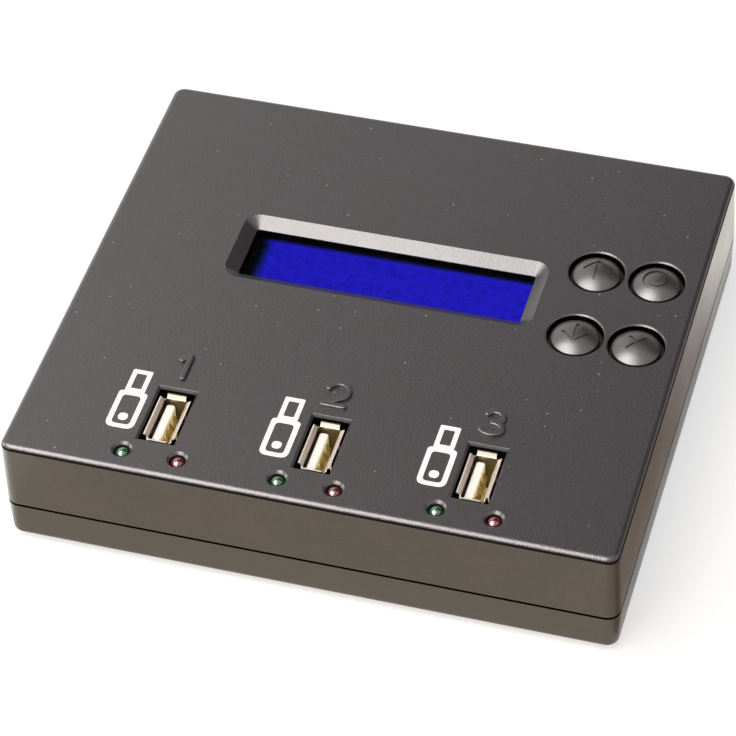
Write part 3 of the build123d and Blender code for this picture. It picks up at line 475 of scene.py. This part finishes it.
def zinc_steel():
    """Zinc-plated steel screws: a cool satin metal with faint milky patches."""
    material, tree, shader, place = new_material("zinc_plated_steel")
    patch = add(tree, "ShaderNodeTexNoise", {"Vector": place, "Scale": 1 / (0.9 * mm), "Detail": 3.0})
    tone = add(
        tree,
        "ShaderNodeMix",
        {mix_share: patch.outputs["Fac"], colour_a: linear("9a9da2"), colour_b: linear("c4c6c8")},
        data_type="RGBA",
    )
    gloss = add(
        tree,
        "ShaderNodeMapRange",
        {"Value": patch.outputs["Fac"], "To Min": 0.25, "To Max": 0.45},
    )
    fill(
        shader,
        {
            "Base Color": tone.outputs[mixed_colour],
            "Metallic": 1.0,
            "Roughness": gloss.outputs[0],
        },
    )
    return material


def clear_acrylic():
    """Polished clear acrylic: it takes hardly any light away and adds a thin gloss, with a faint
    waviness in its reflections."""
    material, tree, shader, place = new_material("polished_acrylic_window")
    wave = add(tree, "ShaderNodeTexNoise", {"Vector": place, "Scale": 1 / (12 * mm)})
    bump = add(tree, "ShaderNodeBump", {"Height": wave.outputs["Fac"], "Distance": 0.01 * mm})
    fill(
        shader,
        {
            "Base Color": linear("05070a"),
            "IOR": 1.49,
            "Roughness": 0.04,
            "Alpha": 0.05,
            "Normal": bump.outputs["Normal"],
        },
    )
    return material


def solder_mask():
    """Green epoxy mask over glass cloth: glossy, with the cloth's squares of 0.6 mm just showing."""
    material, tree, shader, place = new_material("solder_mask_on_glass_cloth")
    warp = add(
        tree,
        "ShaderNodeTexWave",
        {"Vector": place, "Scale": wave_period / (0.6 * mm)},
        bands_direction="X",
    )
    weft = add(
        tree,
        "ShaderNodeTexWave",
        {"Vector": place, "Scale": wave_period / (0.6 * mm)},
        bands_direction="Y",
    )
    cloth = add(
        tree,
        "ShaderNodeMath",
        {0: warp.outputs["Fac"], 1: weft.outputs["Fac"]},
        operation="MULTIPLY",
    )
    tone = add(
        tree,
        "ShaderNodeMix",
        {mix_share: cloth.outputs[0], colour_a: linear("123f25"), colour_b: linear("1f5a37")},
        data_type="RGBA",
    )
    bump = add(tree, "ShaderNodeBump", {"Height": cloth.outputs[0], "Distance": 0.01 * mm})
    fill(
        shader,
        {
            "Base Color": tone.outputs[mixed_colour],
            "Roughness": 0.3,
            "Normal": bump.outputs["Normal"],
        },
    )
    return material


def lacquered_steel():
    """Stamped steel with black dip lacquer: satin black with a slight orange peel, and a blue spill
    of the backlight on the rim behind the glass."""
    material, tree, shader, place = new_material("black_lacquered_steel")
    peel = add(tree, "ShaderNodeTexNoise", {"Vector": place, "Scale": 1 / (1.5 * mm), "Detail": 2.0})
    tone = add(
        tree,
        "ShaderNodeMix",
        {mix_share: peel.outputs["Fac"], colour_a: linear("070707"), colour_b: linear("101011")},
        data_type="RGBA",
    )
    bump = add(tree, "ShaderNodeBump", {"Height": peel.outputs["Fac"], "Distance": 0.01 * mm})
    low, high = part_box("lcd_glass")
    offset = add(tree, "ShaderNodeVectorMath", {0: place, 1: (low + high) / 2}, operation="SUBTRACT")
    parts = add(tree, "ShaderNodeSeparateXYZ", {0: offset.outputs[0]})
    behind = add(
        tree,
        "ShaderNodeMapRange",
        {
            "Value": parts.outputs["Y"],
            "From Min": (lit_width / 2 - spill_overlap) * mm,
            "From Max": (lit_width / 2 + spill_width) * mm,
            "To Min": 0.9,
            "To Max": 0.0,
        },
        interpolation_type="SMOOTHSTEP",
    )
    back_half = add(tree, "ShaderNodeMath", {0: parts.outputs["Y"], 1: 0.0}, operation="GREATER_THAN")
    along = add(
        tree,
        "ShaderNodeMapRange",
        {
            "Value": parts.outputs["X"],
            "From Min": (-lit_length / 2 + dark_edge) * mm,
            "From Max": (-lit_length / 2 + lit_fade) * mm,
        },
        interpolation_type="SMOOTHSTEP",
    )
    spill = add(
        tree,
        "ShaderNodeMath",
        {0: behind.outputs[0], 1: along.outputs[0]},
        operation="MULTIPLY",
    )
    share = add(
        tree,
        "ShaderNodeMath",
        {0: spill.outputs[0], 1: back_half.outputs[0]},
        operation="MULTIPLY",
    )
    blue = add(
        tree,
        "ShaderNodeMix",
        {mix_share: share.outputs[0], colour_a: linear("000000"), colour_b: linear("1c18c0")},
        data_type="RGBA",
    )
    fill(
        shader,
        {
            "Base Color": tone.outputs[mixed_colour],
            "Roughness": 0.45,
            "Specular IOR Level": 0.25,
            "Emission Color": blue.outputs[mixed_colour],
            "Emission Strength": 1.0,
            "Normal": bump.outputs["Normal"],
        },
    )
    return material


def lit_display():
    """Glass of a negative blue text display with its backlight on: deep blue that falls off to a
    dark navy and black at the left, partly the backlight's own falloff and partly painted shade of
    the case's edge, with its dots faintly and unevenly there."""
    material, tree, shader, place = new_material("backlit_display_glass")
    low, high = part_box("lcd_glass")
    offset = add(tree, "ShaderNodeVectorMath", {0: place, 1: (low + high) / 2}, operation="SUBTRACT")
    parts = add(tree, "ShaderNodeSeparateXYZ", {0: offset.outputs[0]})
    # The falloff at the left is partly the backlight's own and partly painted shade of the case's edge
    lit = add(
        tree,
        "ShaderNodeMapRange",
        {
            "Value": parts.outputs["X"],
            "From Min": (-lit_length / 2 + dark_edge) * mm,
            "From Max": (-lit_length / 2 + lit_fade) * mm,
        },
        interpolation_type="SMOOTHSTEP",
    )
    blue = add(tree, "ShaderNodeValToRGB", {"Fac": lit.outputs[0]})
    blue.color_ramp.elements[0].color = linear("010305")
    blue.color_ramp.elements[1].color = linear("211bc2")
    navy = blue.color_ramp.elements.new(0.3)
    navy.color = linear("071430")
    deep = blue.color_ramp.elements.new(0.65)
    deep.color = linear("131b89")
    # Dots, which show unevenly against the backlight
    column = add(
        tree,
        "ShaderNodeMath",
        {0: parts.outputs["X"], 1: dot_pitch_x / 2 * mm},
        operation="PINGPONG",
    )
    row = add(
        tree,
        "ShaderNodeMath",
        {0: parts.outputs["Y"], 1: dot_pitch_y / 2 * mm},
        operation="PINGPONG",
    )
    across = add(
        tree,
        "ShaderNodeMapRange",
        {"Value": column.outputs[0], "From Min": dot_gap * mm, "From Max": dot_full * mm},
    )
    along = add(
        tree,
        "ShaderNodeMapRange",
        {"Value": row.outputs[0], "From Min": dot_gap * mm, "From Max": dot_full * mm},
    )
    dot = add(tree, "ShaderNodeMath", {0: across.outputs[0], 1: along.outputs[0]}, operation="MULTIPLY")
    patches = add(tree, "ShaderNodeTexNoise", {"Vector": place, "Scale": 1 / (1.4 * mm), "Detail": 3.0})
    uneven = add(
        tree,
        "ShaderNodeMapRange",
        {"Value": patches.outputs["Fac"], "From Min": 0.45, "From Max": 0.65, "To Max": 0.4},
    )
    shade = add(tree, "ShaderNodeMath", {0: dot.outputs[0], 1: uneven.outputs[0]}, operation="MULTIPLY")
    dim = add(tree, "ShaderNodeMath", {0: 1.0, 1: shade.outputs[0]}, operation="SUBTRACT")
    shown = add(
        tree,
        "ShaderNodeMix",
        {mix_share: 1.0, colour_a: blue.outputs["Color"], colour_b: dim.outputs[0]},
        data_type="RGBA",
        blend_type="MULTIPLY",
    )
    fill(
        shader,
        {
            "Base Color": linear("06070c"),
            "Roughness": 0.08,
            "Specular IOR Level": 0.04,
            "Emission Color": shown.outputs[mixed_colour],
            "Emission Strength": 1.0,
        },
    )
    return material


def diffuser_acrylic():
    """Opal acrylic light guide: milky white with a fine dot print on a 1 mm pitch."""
    material, tree, shader, place = new_material("opal_acrylic_light_guide")
    dots = add(tree, "ShaderNodeTexVoronoi", {"Vector": place, "Scale": 1 / (1.0 * mm), "Randomness": 0.0})
    print_share = add(
        tree,
        "ShaderNodeMapRange",
        {
            "Value": dots.outputs["Distance"],
            "From Min": 0.2,
            "From Max": 0.26,
            "To Min": 1.0,
            "To Max": 0.0,
        },
    )
    tone = add(
        tree,
        "ShaderNodeMix",
        {mix_share: print_share.outputs[0], colour_a: linear("dcdcd8"), colour_b: linear("f0f0ee")},
        data_type="RGBA",
    )
    fill(
        shader,
        {
            "Base Color": tone.outputs[mixed_colour],
            "Roughness": 0.4,
            "Transmission Weight": 0.2,
            "IOR": 1.49,
        },
    )
    return material


def layered_silicone():
    """Silicone strip of conducting and insulating layers: pink with dark lines, drawn at 0.5 mm
    instead of the real 0.1 mm so that they show."""
    material, tree, shader, place = new_material("layered_silicone_strip")
    layers = add(
        tree,
        "ShaderNodeTexWave",
        {"Vector": place, "Scale": wave_period / (0.5 * mm)},
        bands_direction="X",
    )
    tone = add(
        tree,
        "ShaderNodeMix",
        {mix_share: layers.outputs["Fac"], colour_a: linear("6a4a48"), colour_b: linear("d0a09a")},
        data_type="RGBA",
    )
    fill(
        shader,
        {
            "Base Color": tone.outputs[mixed_colour],
            "Roughness": 0.6,
        },
    )
    return material


def matt_tin():
    """Matt tin plate on stamped leads: a soft grey metal, a little cloudy."""
    material, tree, shader, place = new_material("matt_tin_plate")
    cloud = add(tree, "ShaderNodeTexNoise", {"Vector": place, "Scale": 1 / (0.7 * mm), "Detail": 3.0})
    tone = add(
        tree,
        "ShaderNodeMix",
        {mix_share: cloud.outputs["Fac"], colour_a: linear("b0afab"), colour_b: linear("d2d1cc")},
        data_type="RGBA",
    )
    gloss = add(tree, "ShaderNodeMapRange", {"Value": cloud.outputs["Fac"], "To Min": 0.25, "To Max": 0.5})
    fill(
        shader,
        {
            "Base Color": tone.outputs[mixed_colour],
            "Metallic": 1.0,
            "Roughness": gloss.outputs[0],
        },
    )
    return material


def nickel_steel():
    """Nickel plate on drawn sheet steel: a warm bright satin metal with faint draw lines down the
    shell, drawn at 0.4 mm so that they show, which stretch its reflections."""
    material, tree, shader, place = new_material("nickel_plated_sheet")
    squeezed = add(tree, "ShaderNodeMapping", {"Vector": place, "Scale": (1.0, 1.0, 0.06)})
    lines = add(
        tree,
        "ShaderNodeTexNoise",
        {"Vector": squeezed.outputs[0], "Scale": 1 / (0.4 * mm), "Detail": 1.0},
    )
    tone = add(
        tree,
        "ShaderNodeMix",
        {mix_share: lines.outputs["Fac"], colour_a: linear("d8c8bc"), colour_b: linear("eee0d6")},
        data_type="RGBA",
    )
    parts = add(tree, "ShaderNodeSeparateXYZ", {0: place})
    near_mouth = add(
        tree,
        "ShaderNodeMapRange",
        {"Value": parts.outputs["Z"], "From Min": inner_shade_full_z * mm, "From Max": inner_shade_none_z * mm},
    )
    # Below its mouth the shell is painted dark as shade inside the socket, and painted lighter on the
    # walls that face left and to the front, where light falls on them, and the lip at its back is painted
    # a little darker to dim its reflection
    geometry = add(tree, "ShaderNodeNewGeometry")
    facing = add(tree, "ShaderNodeSeparateXYZ", {0: geometry.outputs["Normal"]})
    faces_left = add(
        tree,
        "ShaderNodeMath",
        {0: facing.outputs["X"], 1: facing_limit},
        operation="LESS_THAN",
    )
    faces_front = add(
        tree,
        "ShaderNodeMath",
        {0: facing.outputs["Y"], 1: facing_limit},
        operation="LESS_THAN",
    )
    inner_shade_front = add(
        tree,
        "ShaderNodeMix",
        {mix_share: faces_front.outputs[0], colour_a: linear("4c4233"), colour_b: linear("9c8e66")},
        data_type="RGBA",
    )
    inner_shade_and_light = add(
        tree,
        "ShaderNodeMix",
        {
            mix_share: faces_left.outputs[0],
            colour_a: inner_shade_front.outputs[mixed_colour],
            colour_b: linear("e2d4a6"),
        },
        data_type="RGBA",
    )
    shaded_below_mouth = add(
        tree,
        "ShaderNodeMix",
        {
            mix_share: near_mouth.outputs[0],
            colour_a: inner_shade_and_light.outputs[mixed_colour],
            colour_b: tone.outputs[mixed_colour],
        },
        data_type="RGBA",
    )
    # The lip at the back is painted a little darker to dim its reflection
    on_back_lip = add(
        tree,
        "ShaderNodeMapRange",
        {"Value": parts.outputs["Y"], "From Min": lip_from_y * mm, "From Max": lip_full_y * mm},
    )
    lip_shaded = add(
        tree,
        "ShaderNodeMix",
        {
            mix_share: on_back_lip.outputs[0],
            colour_a: shaded_below_mouth.outputs[mixed_colour],
            colour_b: linear("7a7266"),
        },
        data_type="RGBA",
    )
    gloss = add(
        tree,
        "ShaderNodeMapRange",
        {"Value": lines.outputs["Fac"], "To Min": 0.38, "To Max": 0.46},
    )
    bump = add(tree, "ShaderNodeBump", {"Height": lines.outputs["Fac"], "Distance": 0.002 * mm})
    fill(
        shader,
        {
            "Base Color": lip_shaded.outputs[mixed_colour],
            "Metallic": 1.0,
            "Roughness": gloss.outputs[0],
            "Normal": bump.outputs["Normal"],
        },
    )
    return material


def insulator_polyester():
    """Moulded glass-filled polyester: cream white and dull, with faint flow marks."""
    material, tree, shader, place = new_material("moulded_polyester_insulator")
    flow = add(tree, "ShaderNodeTexNoise", {"Vector": place, "Scale": 1 / (2.0 * mm), "Detail": 3.0})
    tone = add(
        tree,
        "ShaderNodeMix",
        {mix_share: flow.outputs["Fac"], colour_a: linear("f4eee2"), colour_b: linear("fdfaf3")},
        data_type="RGBA",
    )
    bump = add(tree, "ShaderNodeBump", {"Height": flow.outputs["Fac"], "Distance": 0.01 * mm})
    fill(
        shader,
        {
            "Base Color": tone.outputs[mixed_colour],
            "Roughness": 0.42,
            "Normal": bump.outputs["Normal"],
        },
    )
    return material


def plated_gold():
    """Thin gold over nickel on stamped springs: a yellow metal, rubbed in streaks where plugs slide."""
    material, tree, shader, place = new_material("gold_plated_contact")
    drawn_out = add(tree, "ShaderNodeMapping", {"Vector": place, "Scale": (1.0, 1.0, 0.1)})
    streak = add(tree, "ShaderNodeTexNoise", {"Vector": drawn_out.outputs[0], "Scale": 1 / (0.2 * mm)})
    tone = add(
        tree,
        "ShaderNodeMix",
        {mix_share: streak.outputs["Fac"], colour_a: linear("dcc47a"), colour_b: linear("f6e8ac")},
        data_type="RGBA",
    )
    gloss = add(tree, "ShaderNodeMapRange", {"Value": streak.outputs["Fac"], "To Min": 0.3, "To Max": 0.5})
    fill(
        shader,
        {
            "Base Color": tone.outputs[mixed_colour],
            "Metallic": 1.0,
            "Roughness": gloss.outputs[0],
        },
    )
    return material


def tinted_epoxy(name, dark, light):
    """Cast lamp epoxy, tinted and clear: a glossy bead that light goes into, with a faint swirl."""
    material, tree, shader, place = new_material(name)
    swirl = add(tree, "ShaderNodeTexNoise", {"Vector": place, "Scale": 1 / (1.5 * mm), "Detail": 1.0})
    tone = add(
        tree,
        "ShaderNodeMix",
        {mix_share: swirl.outputs["Fac"], colour_a: linear(dark), colour_b: linear(light)},
        data_type="RGBA",
    )
    fill(
        shader,
        {
            "Base Color": tone.outputs[mixed_colour],
            "Roughness": 0.12,
            "IOR": 1.54,
            "Specular IOR Level": 0.8,
            "Transmission Weight": 0.35,
            "Coat Weight": 1.0,
            "Coat Roughness": 0.03,
            "Coat IOR": 1.8,
        },
    )
    return material


def moulding_compound():
    """Black epoxy compound of chip packages: dull dark grey, its fine grains of filler paler."""
    material, tree, shader, place = new_material("epoxy_moulding_compound")
    filler = add(tree, "ShaderNodeTexVoronoi", {"Vector": place, "Scale": 1 / (0.35 * mm)})
    tone = add(
        tree,
        "ShaderNodeMix",
        {mix_share: filler.outputs["Distance"], colour_a: linear("2c2c2e"), colour_b: linear("151516")},
        data_type="RGBA",
    )
    fill(
        shader,
        {
            "Base Color": tone.outputs[mixed_colour],
            "Roughness": 0.6,
        },
    )
    return material


def can_aluminium():
    """Drawn aluminium can: a pale satin metal with fine upright draw lines."""
    material, tree, shader, place = new_material("drawn_aluminium_can")
    squeezed = add(tree, "ShaderNodeMapping", {"Vector": place, "Scale": (1.0, 1.0, 0.08)})
    lines = add(tree, "ShaderNodeTexNoise", {"Vector": squeezed.outputs[0], "Scale": 1 / (0.3 * mm)})
    tone = add(
        tree,
        "ShaderNodeMix",
        {mix_share: lines.outputs["Fac"], colour_a: linear("bcbec2"), colour_b: linear("d8dade")},
        data_type="RGBA",
    )
    gloss = add(tree, "ShaderNodeMapRange", {"Value": lines.outputs["Fac"], "To Min": 0.25, "To Max": 0.4})
    fill(
        shader,
        {
            "Base Color": tone.outputs[mixed_colour],
            "Metallic": 1.0,
            "Roughness": gloss.outputs[0],
        },
    )
    return material


def printed_ink():
    """Pad-printed white ink: an even matt white, slightly thin where the case's grain shows through."""
    material, tree, shader, place = new_material("pad_printed_ink")
    thin = add(tree, "ShaderNodeTexNoise", {"Vector": place, "Scale": 1 / (0.45 * mm), "Detail": 2.0})
    tone = add(
        tree,
        "ShaderNodeMix",
        {mix_share: thin.outputs["Fac"], colour_a: linear("f0eeec"), colour_b: linear("fdfcfb")},
        data_type="RGBA",
    )
    fill(
        shader,
        {
            "Base Color": tone.outputs[mixed_colour],
            "Roughness": 0.55,
        },
    )
    return material


finishes = {
    "case_plastic": case_abs(),
    "foot_rubber": foot_rubber(),
    "screw_steel": zinc_steel(),
    "window_clear": clear_acrylic(),
    "board_green": solder_mask(),
    "bezel_black": lacquered_steel(),
    "display_blue": lit_display(),
    "diffuser_white": diffuser_acrylic(),
    "strip_rubber": layered_silicone(),
    "black_nylon": moulded_polyamide("moulded_polyamide", "0f0f0f", "1d1c1c", 0.5),
    "tinned_metal": matt_tin(),
    "socket_steel": nickel_steel(),
    "insulator_white": insulator_polyester(),
    "contact_gold": plated_gold(),
    "led_green": tinted_epoxy("green_lamp_epoxy", "0a4a20", "187a38"),
    "led_red": tinted_epoxy("red_lamp_epoxy", "5a0210", "92081e"),
    "button_plastic": button_abs(),
    "knob_plastic": moulded_polyamide("moulded_polyamide_knob", "121212", "242322", 0.42),
    "chip_black": moulding_compound(),
    "can_aluminium": can_aluminium(),
    "ink_white": printed_ink(),
}
for part in frame["record"]["subparts"]:
    piece = frame["nodes"][part["node"]]
    piece.data.materials.clear()
    piece.data.materials.append(finishes[part["material_slot"]])


def rounded(corners):
    """Points of a closed outline whose corners, given as (x, y, radius), are rounded off, each with
    a curve that its two sides touch at that radius from the corner."""
    points = []
    steps = 6
    for i, (x, y, radius) in enumerate(corners):
        corner = Vector((x, y))
        before = (Vector(corners[i - 1][:2]) - corner).normalized()
        after = (Vector(corners[(i + 1) % len(corners)][:2]) - corner).normalized()
        for k in range(steps + 1):
            t = k / steps
            start = corner + before * radius * (1 - t)
            end = corner + after * radius * t
            points.append(start.lerp(end, t))
    return points


def box_corners(low_x, low_y, high_x, high_y, radius):
    """The corners of an upright box, each with the same radius."""
    return [
        (low_x, low_y, radius),
        (high_x, low_y, radius),
        (high_x, high_y, radius),
        (low_x, high_y, radius),
    ]


def stick_sign(name, place_x):
    """The printed sign beside a socket: a memory stick in outline, its plug to the back."""
    shoulder_x = 3.3
    shoulder_y = 2.2
    plug_x = 2.3
    end_y = 8.9
    stick = [
        (-shoulder_x, -end_y, 1.9),
        (shoulder_x, -end_y, 1.9),
        (shoulder_x, shoulder_y, 1.0),
        (plug_x, shoulder_y, 0.05),
        (plug_x, end_y, 0.4),
        (-plug_x, end_y, 0.4),
        (-plug_x, shoulder_y, 0.05),
        (-shoulder_x, shoulder_y, 1.0),
    ]
    body_opening = box_corners(-2.1, -7.7, 2.1, 1.0, 1.0)
    plug_opening = box_corners(-1.2, 3.2, 1.2, 7.7, 0.25)
    round_dot = box_corners(-1.1, -6.6, 1.1, -4.4, 1.1)
    curve = bpy.data.curves.new(name, "CURVE")
    curve.dimensions = "2D"
    curve.fill_mode = "BOTH"
    curve.extrude = sign_ink_t / 2 * mm
    for corners in (stick, body_opening, plug_opening, round_dot):
        points = rounded(corners)
        spline = curve.splines.new("POLY")
        spline.points.add(len(points) - 1)
        for point, (x, y) in zip(spline.points, points):
            point.co = (x * mm, y * mm, 0, 1)
        spline.use_cyclic_u = True
    curve.materials.append(finishes["ink_white"])
    sign = bpy.data.objects.new(name, curve)
    sign.location = Vector((place_x, stick_sign_y, top_face_z + sign_ink_t / 2)) * mm
    bpy.context.scene.collection.objects.link(sign)
    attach(sign, "case")


for i, slot_x in enumerate(socket_slots_x, 1):
    stick_sign(f"stick_sign_{i}", slot_x + stick_sign_offset_x)


def lamp(name, direction, distance, size, watts, colour, shows=True):
    """A square softbox that faces the object, and shows in gloss or not."""
    data = bpy.data.lights.new(name, "AREA")
    data.size = size
    data.energy = watts
    data.color = linear(colour)[:3]
    light = bpy.data.objects.new(name, data)
    light.visible_glossy = shows
    light.location = Vector(direction).normalized() * distance
    light.rotation_euler = (-light.location).to_track_quat("-Z", "Y").to_euler()
    bpy.context.scene.collection.objects.link(light)


def level(low_x, low_y, high_x, high_y, z):
    """Corners of a level card or floor."""
    return [(low_x, low_y, z), (high_x, low_y, z), (high_x, high_y, z), (low_x, high_y, z)]


def upright(low_x, low_z, high_x, high_z, y):
    """Corners of an upright card across the view."""
    return [(low_x, y, low_z), (high_x, y, low_z), (high_x, y, high_z), (low_x, y, high_z)]


def card(name, corners, colour, strength):
    """A flat card that lights nothing and only shows in reflections, with corners in metres."""
    mesh = bpy.data.meshes.new(name)
    mesh.from_pydata(corners, [], [tuple(range(len(corners)))])
    board = bpy.data.objects.new(name, mesh)
    bpy.context.scene.collection.objects.link(board)
    board.visible_camera = False
    board.visible_diffuse = False
    board.visible_shadow = False
    material, tree, shader, _ = new_material(name)
    tree.nodes.remove(shader)
    glow = add(tree, "ShaderNodeEmission", {"Color": linear(colour), "Strength": strength})
    fill(tree.nodes["Material Output"], {"Surface": glow.outputs[0]})
    mesh.materials.append(material)
    return glow


def grade_side_board(glow):
    """Grades the side board along its length, from brown at its front to white at its back."""
    tree = glow.id_data
    place = add(tree, "ShaderNodeTexCoord").outputs["Object"]
    parts = add(tree, "ShaderNodeSeparateXYZ", {0: place})
    share = add(
        tree,
        "ShaderNodeMapRange",
        {
            "Value": parts.outputs["Y"],
            "From Min": side_board_front_y,
            "From Max": side_board_back_y,
        },
    )
    ramp = add(tree, "ShaderNodeValToRGB", {"Fac": share.outputs[0]})
    front, back = ramp.color_ramp.elements
    front.position = 0.38
    front.color = linear("766759")
    back.position = 0.65
    back.color = linear("fff9ee")
    for position, colour in ((0.5, "958d8a"), (0.55, "b6afaa"), (0.6, "ddd8d0")):
        ramp.color_ramp.elements.new(position).color = linear(colour)
    fill(glow, {"Color": ramp.outputs["Color"]})


lamp("key_softbox", (-0.28, -0.38, 0.88), 1.2, 1.0, 13.5, "fffcfa")
lamp("front_fill", (-0.3, -1.0, 0.06), 1.4, 1.0, 19.0, "ffb048", shows=False)
lamp("left_fill", (-1.0, -0.1, 0.12), 1.0, 0.4, 5.0, "f2ffe8")
lamp("back_right_fill", (0.5, 0.45, 0.06), 0.36, 0.1, 0.2, "fff2dc", shows=False)

# Behind the object: a dark card over the right and the top, and a white one at the left
dark_card = [
    (-0.43, 1.0, 0.985),
    (-0.05, 1.0, 0.985),
    (-0.05, 1.0, 0.25),
    (1.8, 1.0, 0.25),
    (1.8, 1.0, 2.2),
    (-0.43, 1.0, 2.2),
]
card("dark_card", dark_card, "202022", 1.0)
card("white_card", upright(-1.6, 0.0, -0.52, 1.7, 1.0), "fffefc", 1.4)

# Above and in front of it, which the buttons and the bevels show
card("pale_card", level(-1.3, -1.2, -0.05, 0.05, 1.2), "fffcf8", 7.0)
pale_front_card = [(-1.3, -1.3, 0.75), (-0.05, -1.3, 0.75), (-0.05, -1.2, 1.2), (-1.3, -1.2, 1.2)]
card("pale_front_card", pale_front_card, "fffcf8", 7.5)
card("front_flag", upright(-1.6, 0.02, 1.2, 0.7, -1.25), "0a0a0a", 1.0)

# On the floor in front of it and beside it, which its front and side walls show
card("floor_flag", level(-1.2, -1.25, 1.0, -0.14, card_lift), "101010", 1.0)
card("apron", level(-0.09, -0.14, 0.09, -0.063, card_lift), "f3f0dc", 1.0)
side_board_glow = card(
    "side_board",
    level(0.072, side_board_front_y, 0.16, side_board_back_y, card_lift),
    "766759",
    1.95,
)
grade_side_board(side_board_glow)
card("left_card", level(-0.5, -0.3, -0.074, 0.1, card_lift), "f4f8e8", 2.2)


def background_share(tree):
    """One for rays from the camera, off gloss and through glass, and zero for the rest."""
    path = add(tree, "ShaderNodeLightPath")
    seen = add(
        tree,
        "ShaderNodeMath",
        {0: path.outputs["Is Camera Ray"], 1: path.outputs["Is Glossy Ray"]},
        operation="MAXIMUM",
    )
    clear = add(
        tree,
        "ShaderNodeMath",
        {0: seen.outputs[0], 1: path.outputs["Is Transmission Ray"]},
        operation="MAXIMUM",
    )
    return clear.outputs[0]


def studio_room():
    """White to the eye and in reflections, and an even dim light on the object."""
    world = bpy.data.worlds.new("studio_room")
    bpy.context.scene.world = world
    world.use_nodes = True
    tree = world.node_tree
    tree.nodes.clear()
    room = add(tree, "ShaderNodeBackground", {"Color": linear("fdfcff"), "Strength": 0.35})
    white = add(tree, "ShaderNodeBackground", {"Color": linear("ffffff"), "Strength": 1.0})
    mixed = add(
        tree,
        "ShaderNodeMixShader",
        {0: background_share(tree), 1: room.outputs[0], 2: white.outputs[0]},
    )
    add(tree, "ShaderNodeOutputWorld", {"Surface": mixed.outputs[0]})


def paper_floor():
    """Wide white paper that keeps the object's shadow and sends a warm light back up."""
    reach = 4.0
    mesh = bpy.data.meshes.new("paper_floor")
    mesh.from_pydata(level(-reach, -reach, reach, reach, 0), [], [(0, 1, 2, 3)])
    floor = bpy.data.objects.new("paper_floor", mesh)
    bpy.context.scene.collection.objects.link(floor)
    material, tree, shader, _ = new_material("white_paper")
    tree.nodes.remove(shader)
    warm = add(tree, "ShaderNodeBsdfDiffuse", {"Color": linear("dccaa0")})
    glow = add(tree, "ShaderNodeEmission", {"Color": linear("ffffff"), "Strength": 0.6})
    shaded = add(tree, "ShaderNodeBsdfDiffuse", {"Color": linear("b0b0b0")})
    seen = add(tree, "ShaderNodeAddShader", {0: glow.outputs[0], 1: shaded.outputs[0]})
    mixed = add(
        tree,
        "ShaderNodeMixShader",
        {0: background_share(tree), 1: warm.outputs[0], 2: seen.outputs[0]},
    )
    fill(tree.nodes["Material Output"], {"Surface": mixed.outputs[0]})
    mesh.materials.append(material)


studio_room()
paper_floor()

camera_data = bpy.data.cameras.new("camera")
camera_data.sensor_width = sensor_width
camera_data.lens = camera_focal_pixels / image_width * sensor_width
camera = bpy.data.objects.new("camera", camera_data)
aim = (camera_aim - camera_place).to_track_quat("-Z", "Y")
camera.rotation_mode = "QUATERNION"
camera.rotation_quaternion = aim @ Quaternion((0, 0, 1), math.radians(camera_roll))
camera.location = camera_place
bpy.context.scene.collection.objects.link(camera)
bpy.context.scene.camera = camera
bpy.context.scene.view_settings.view_transform = "Standard"
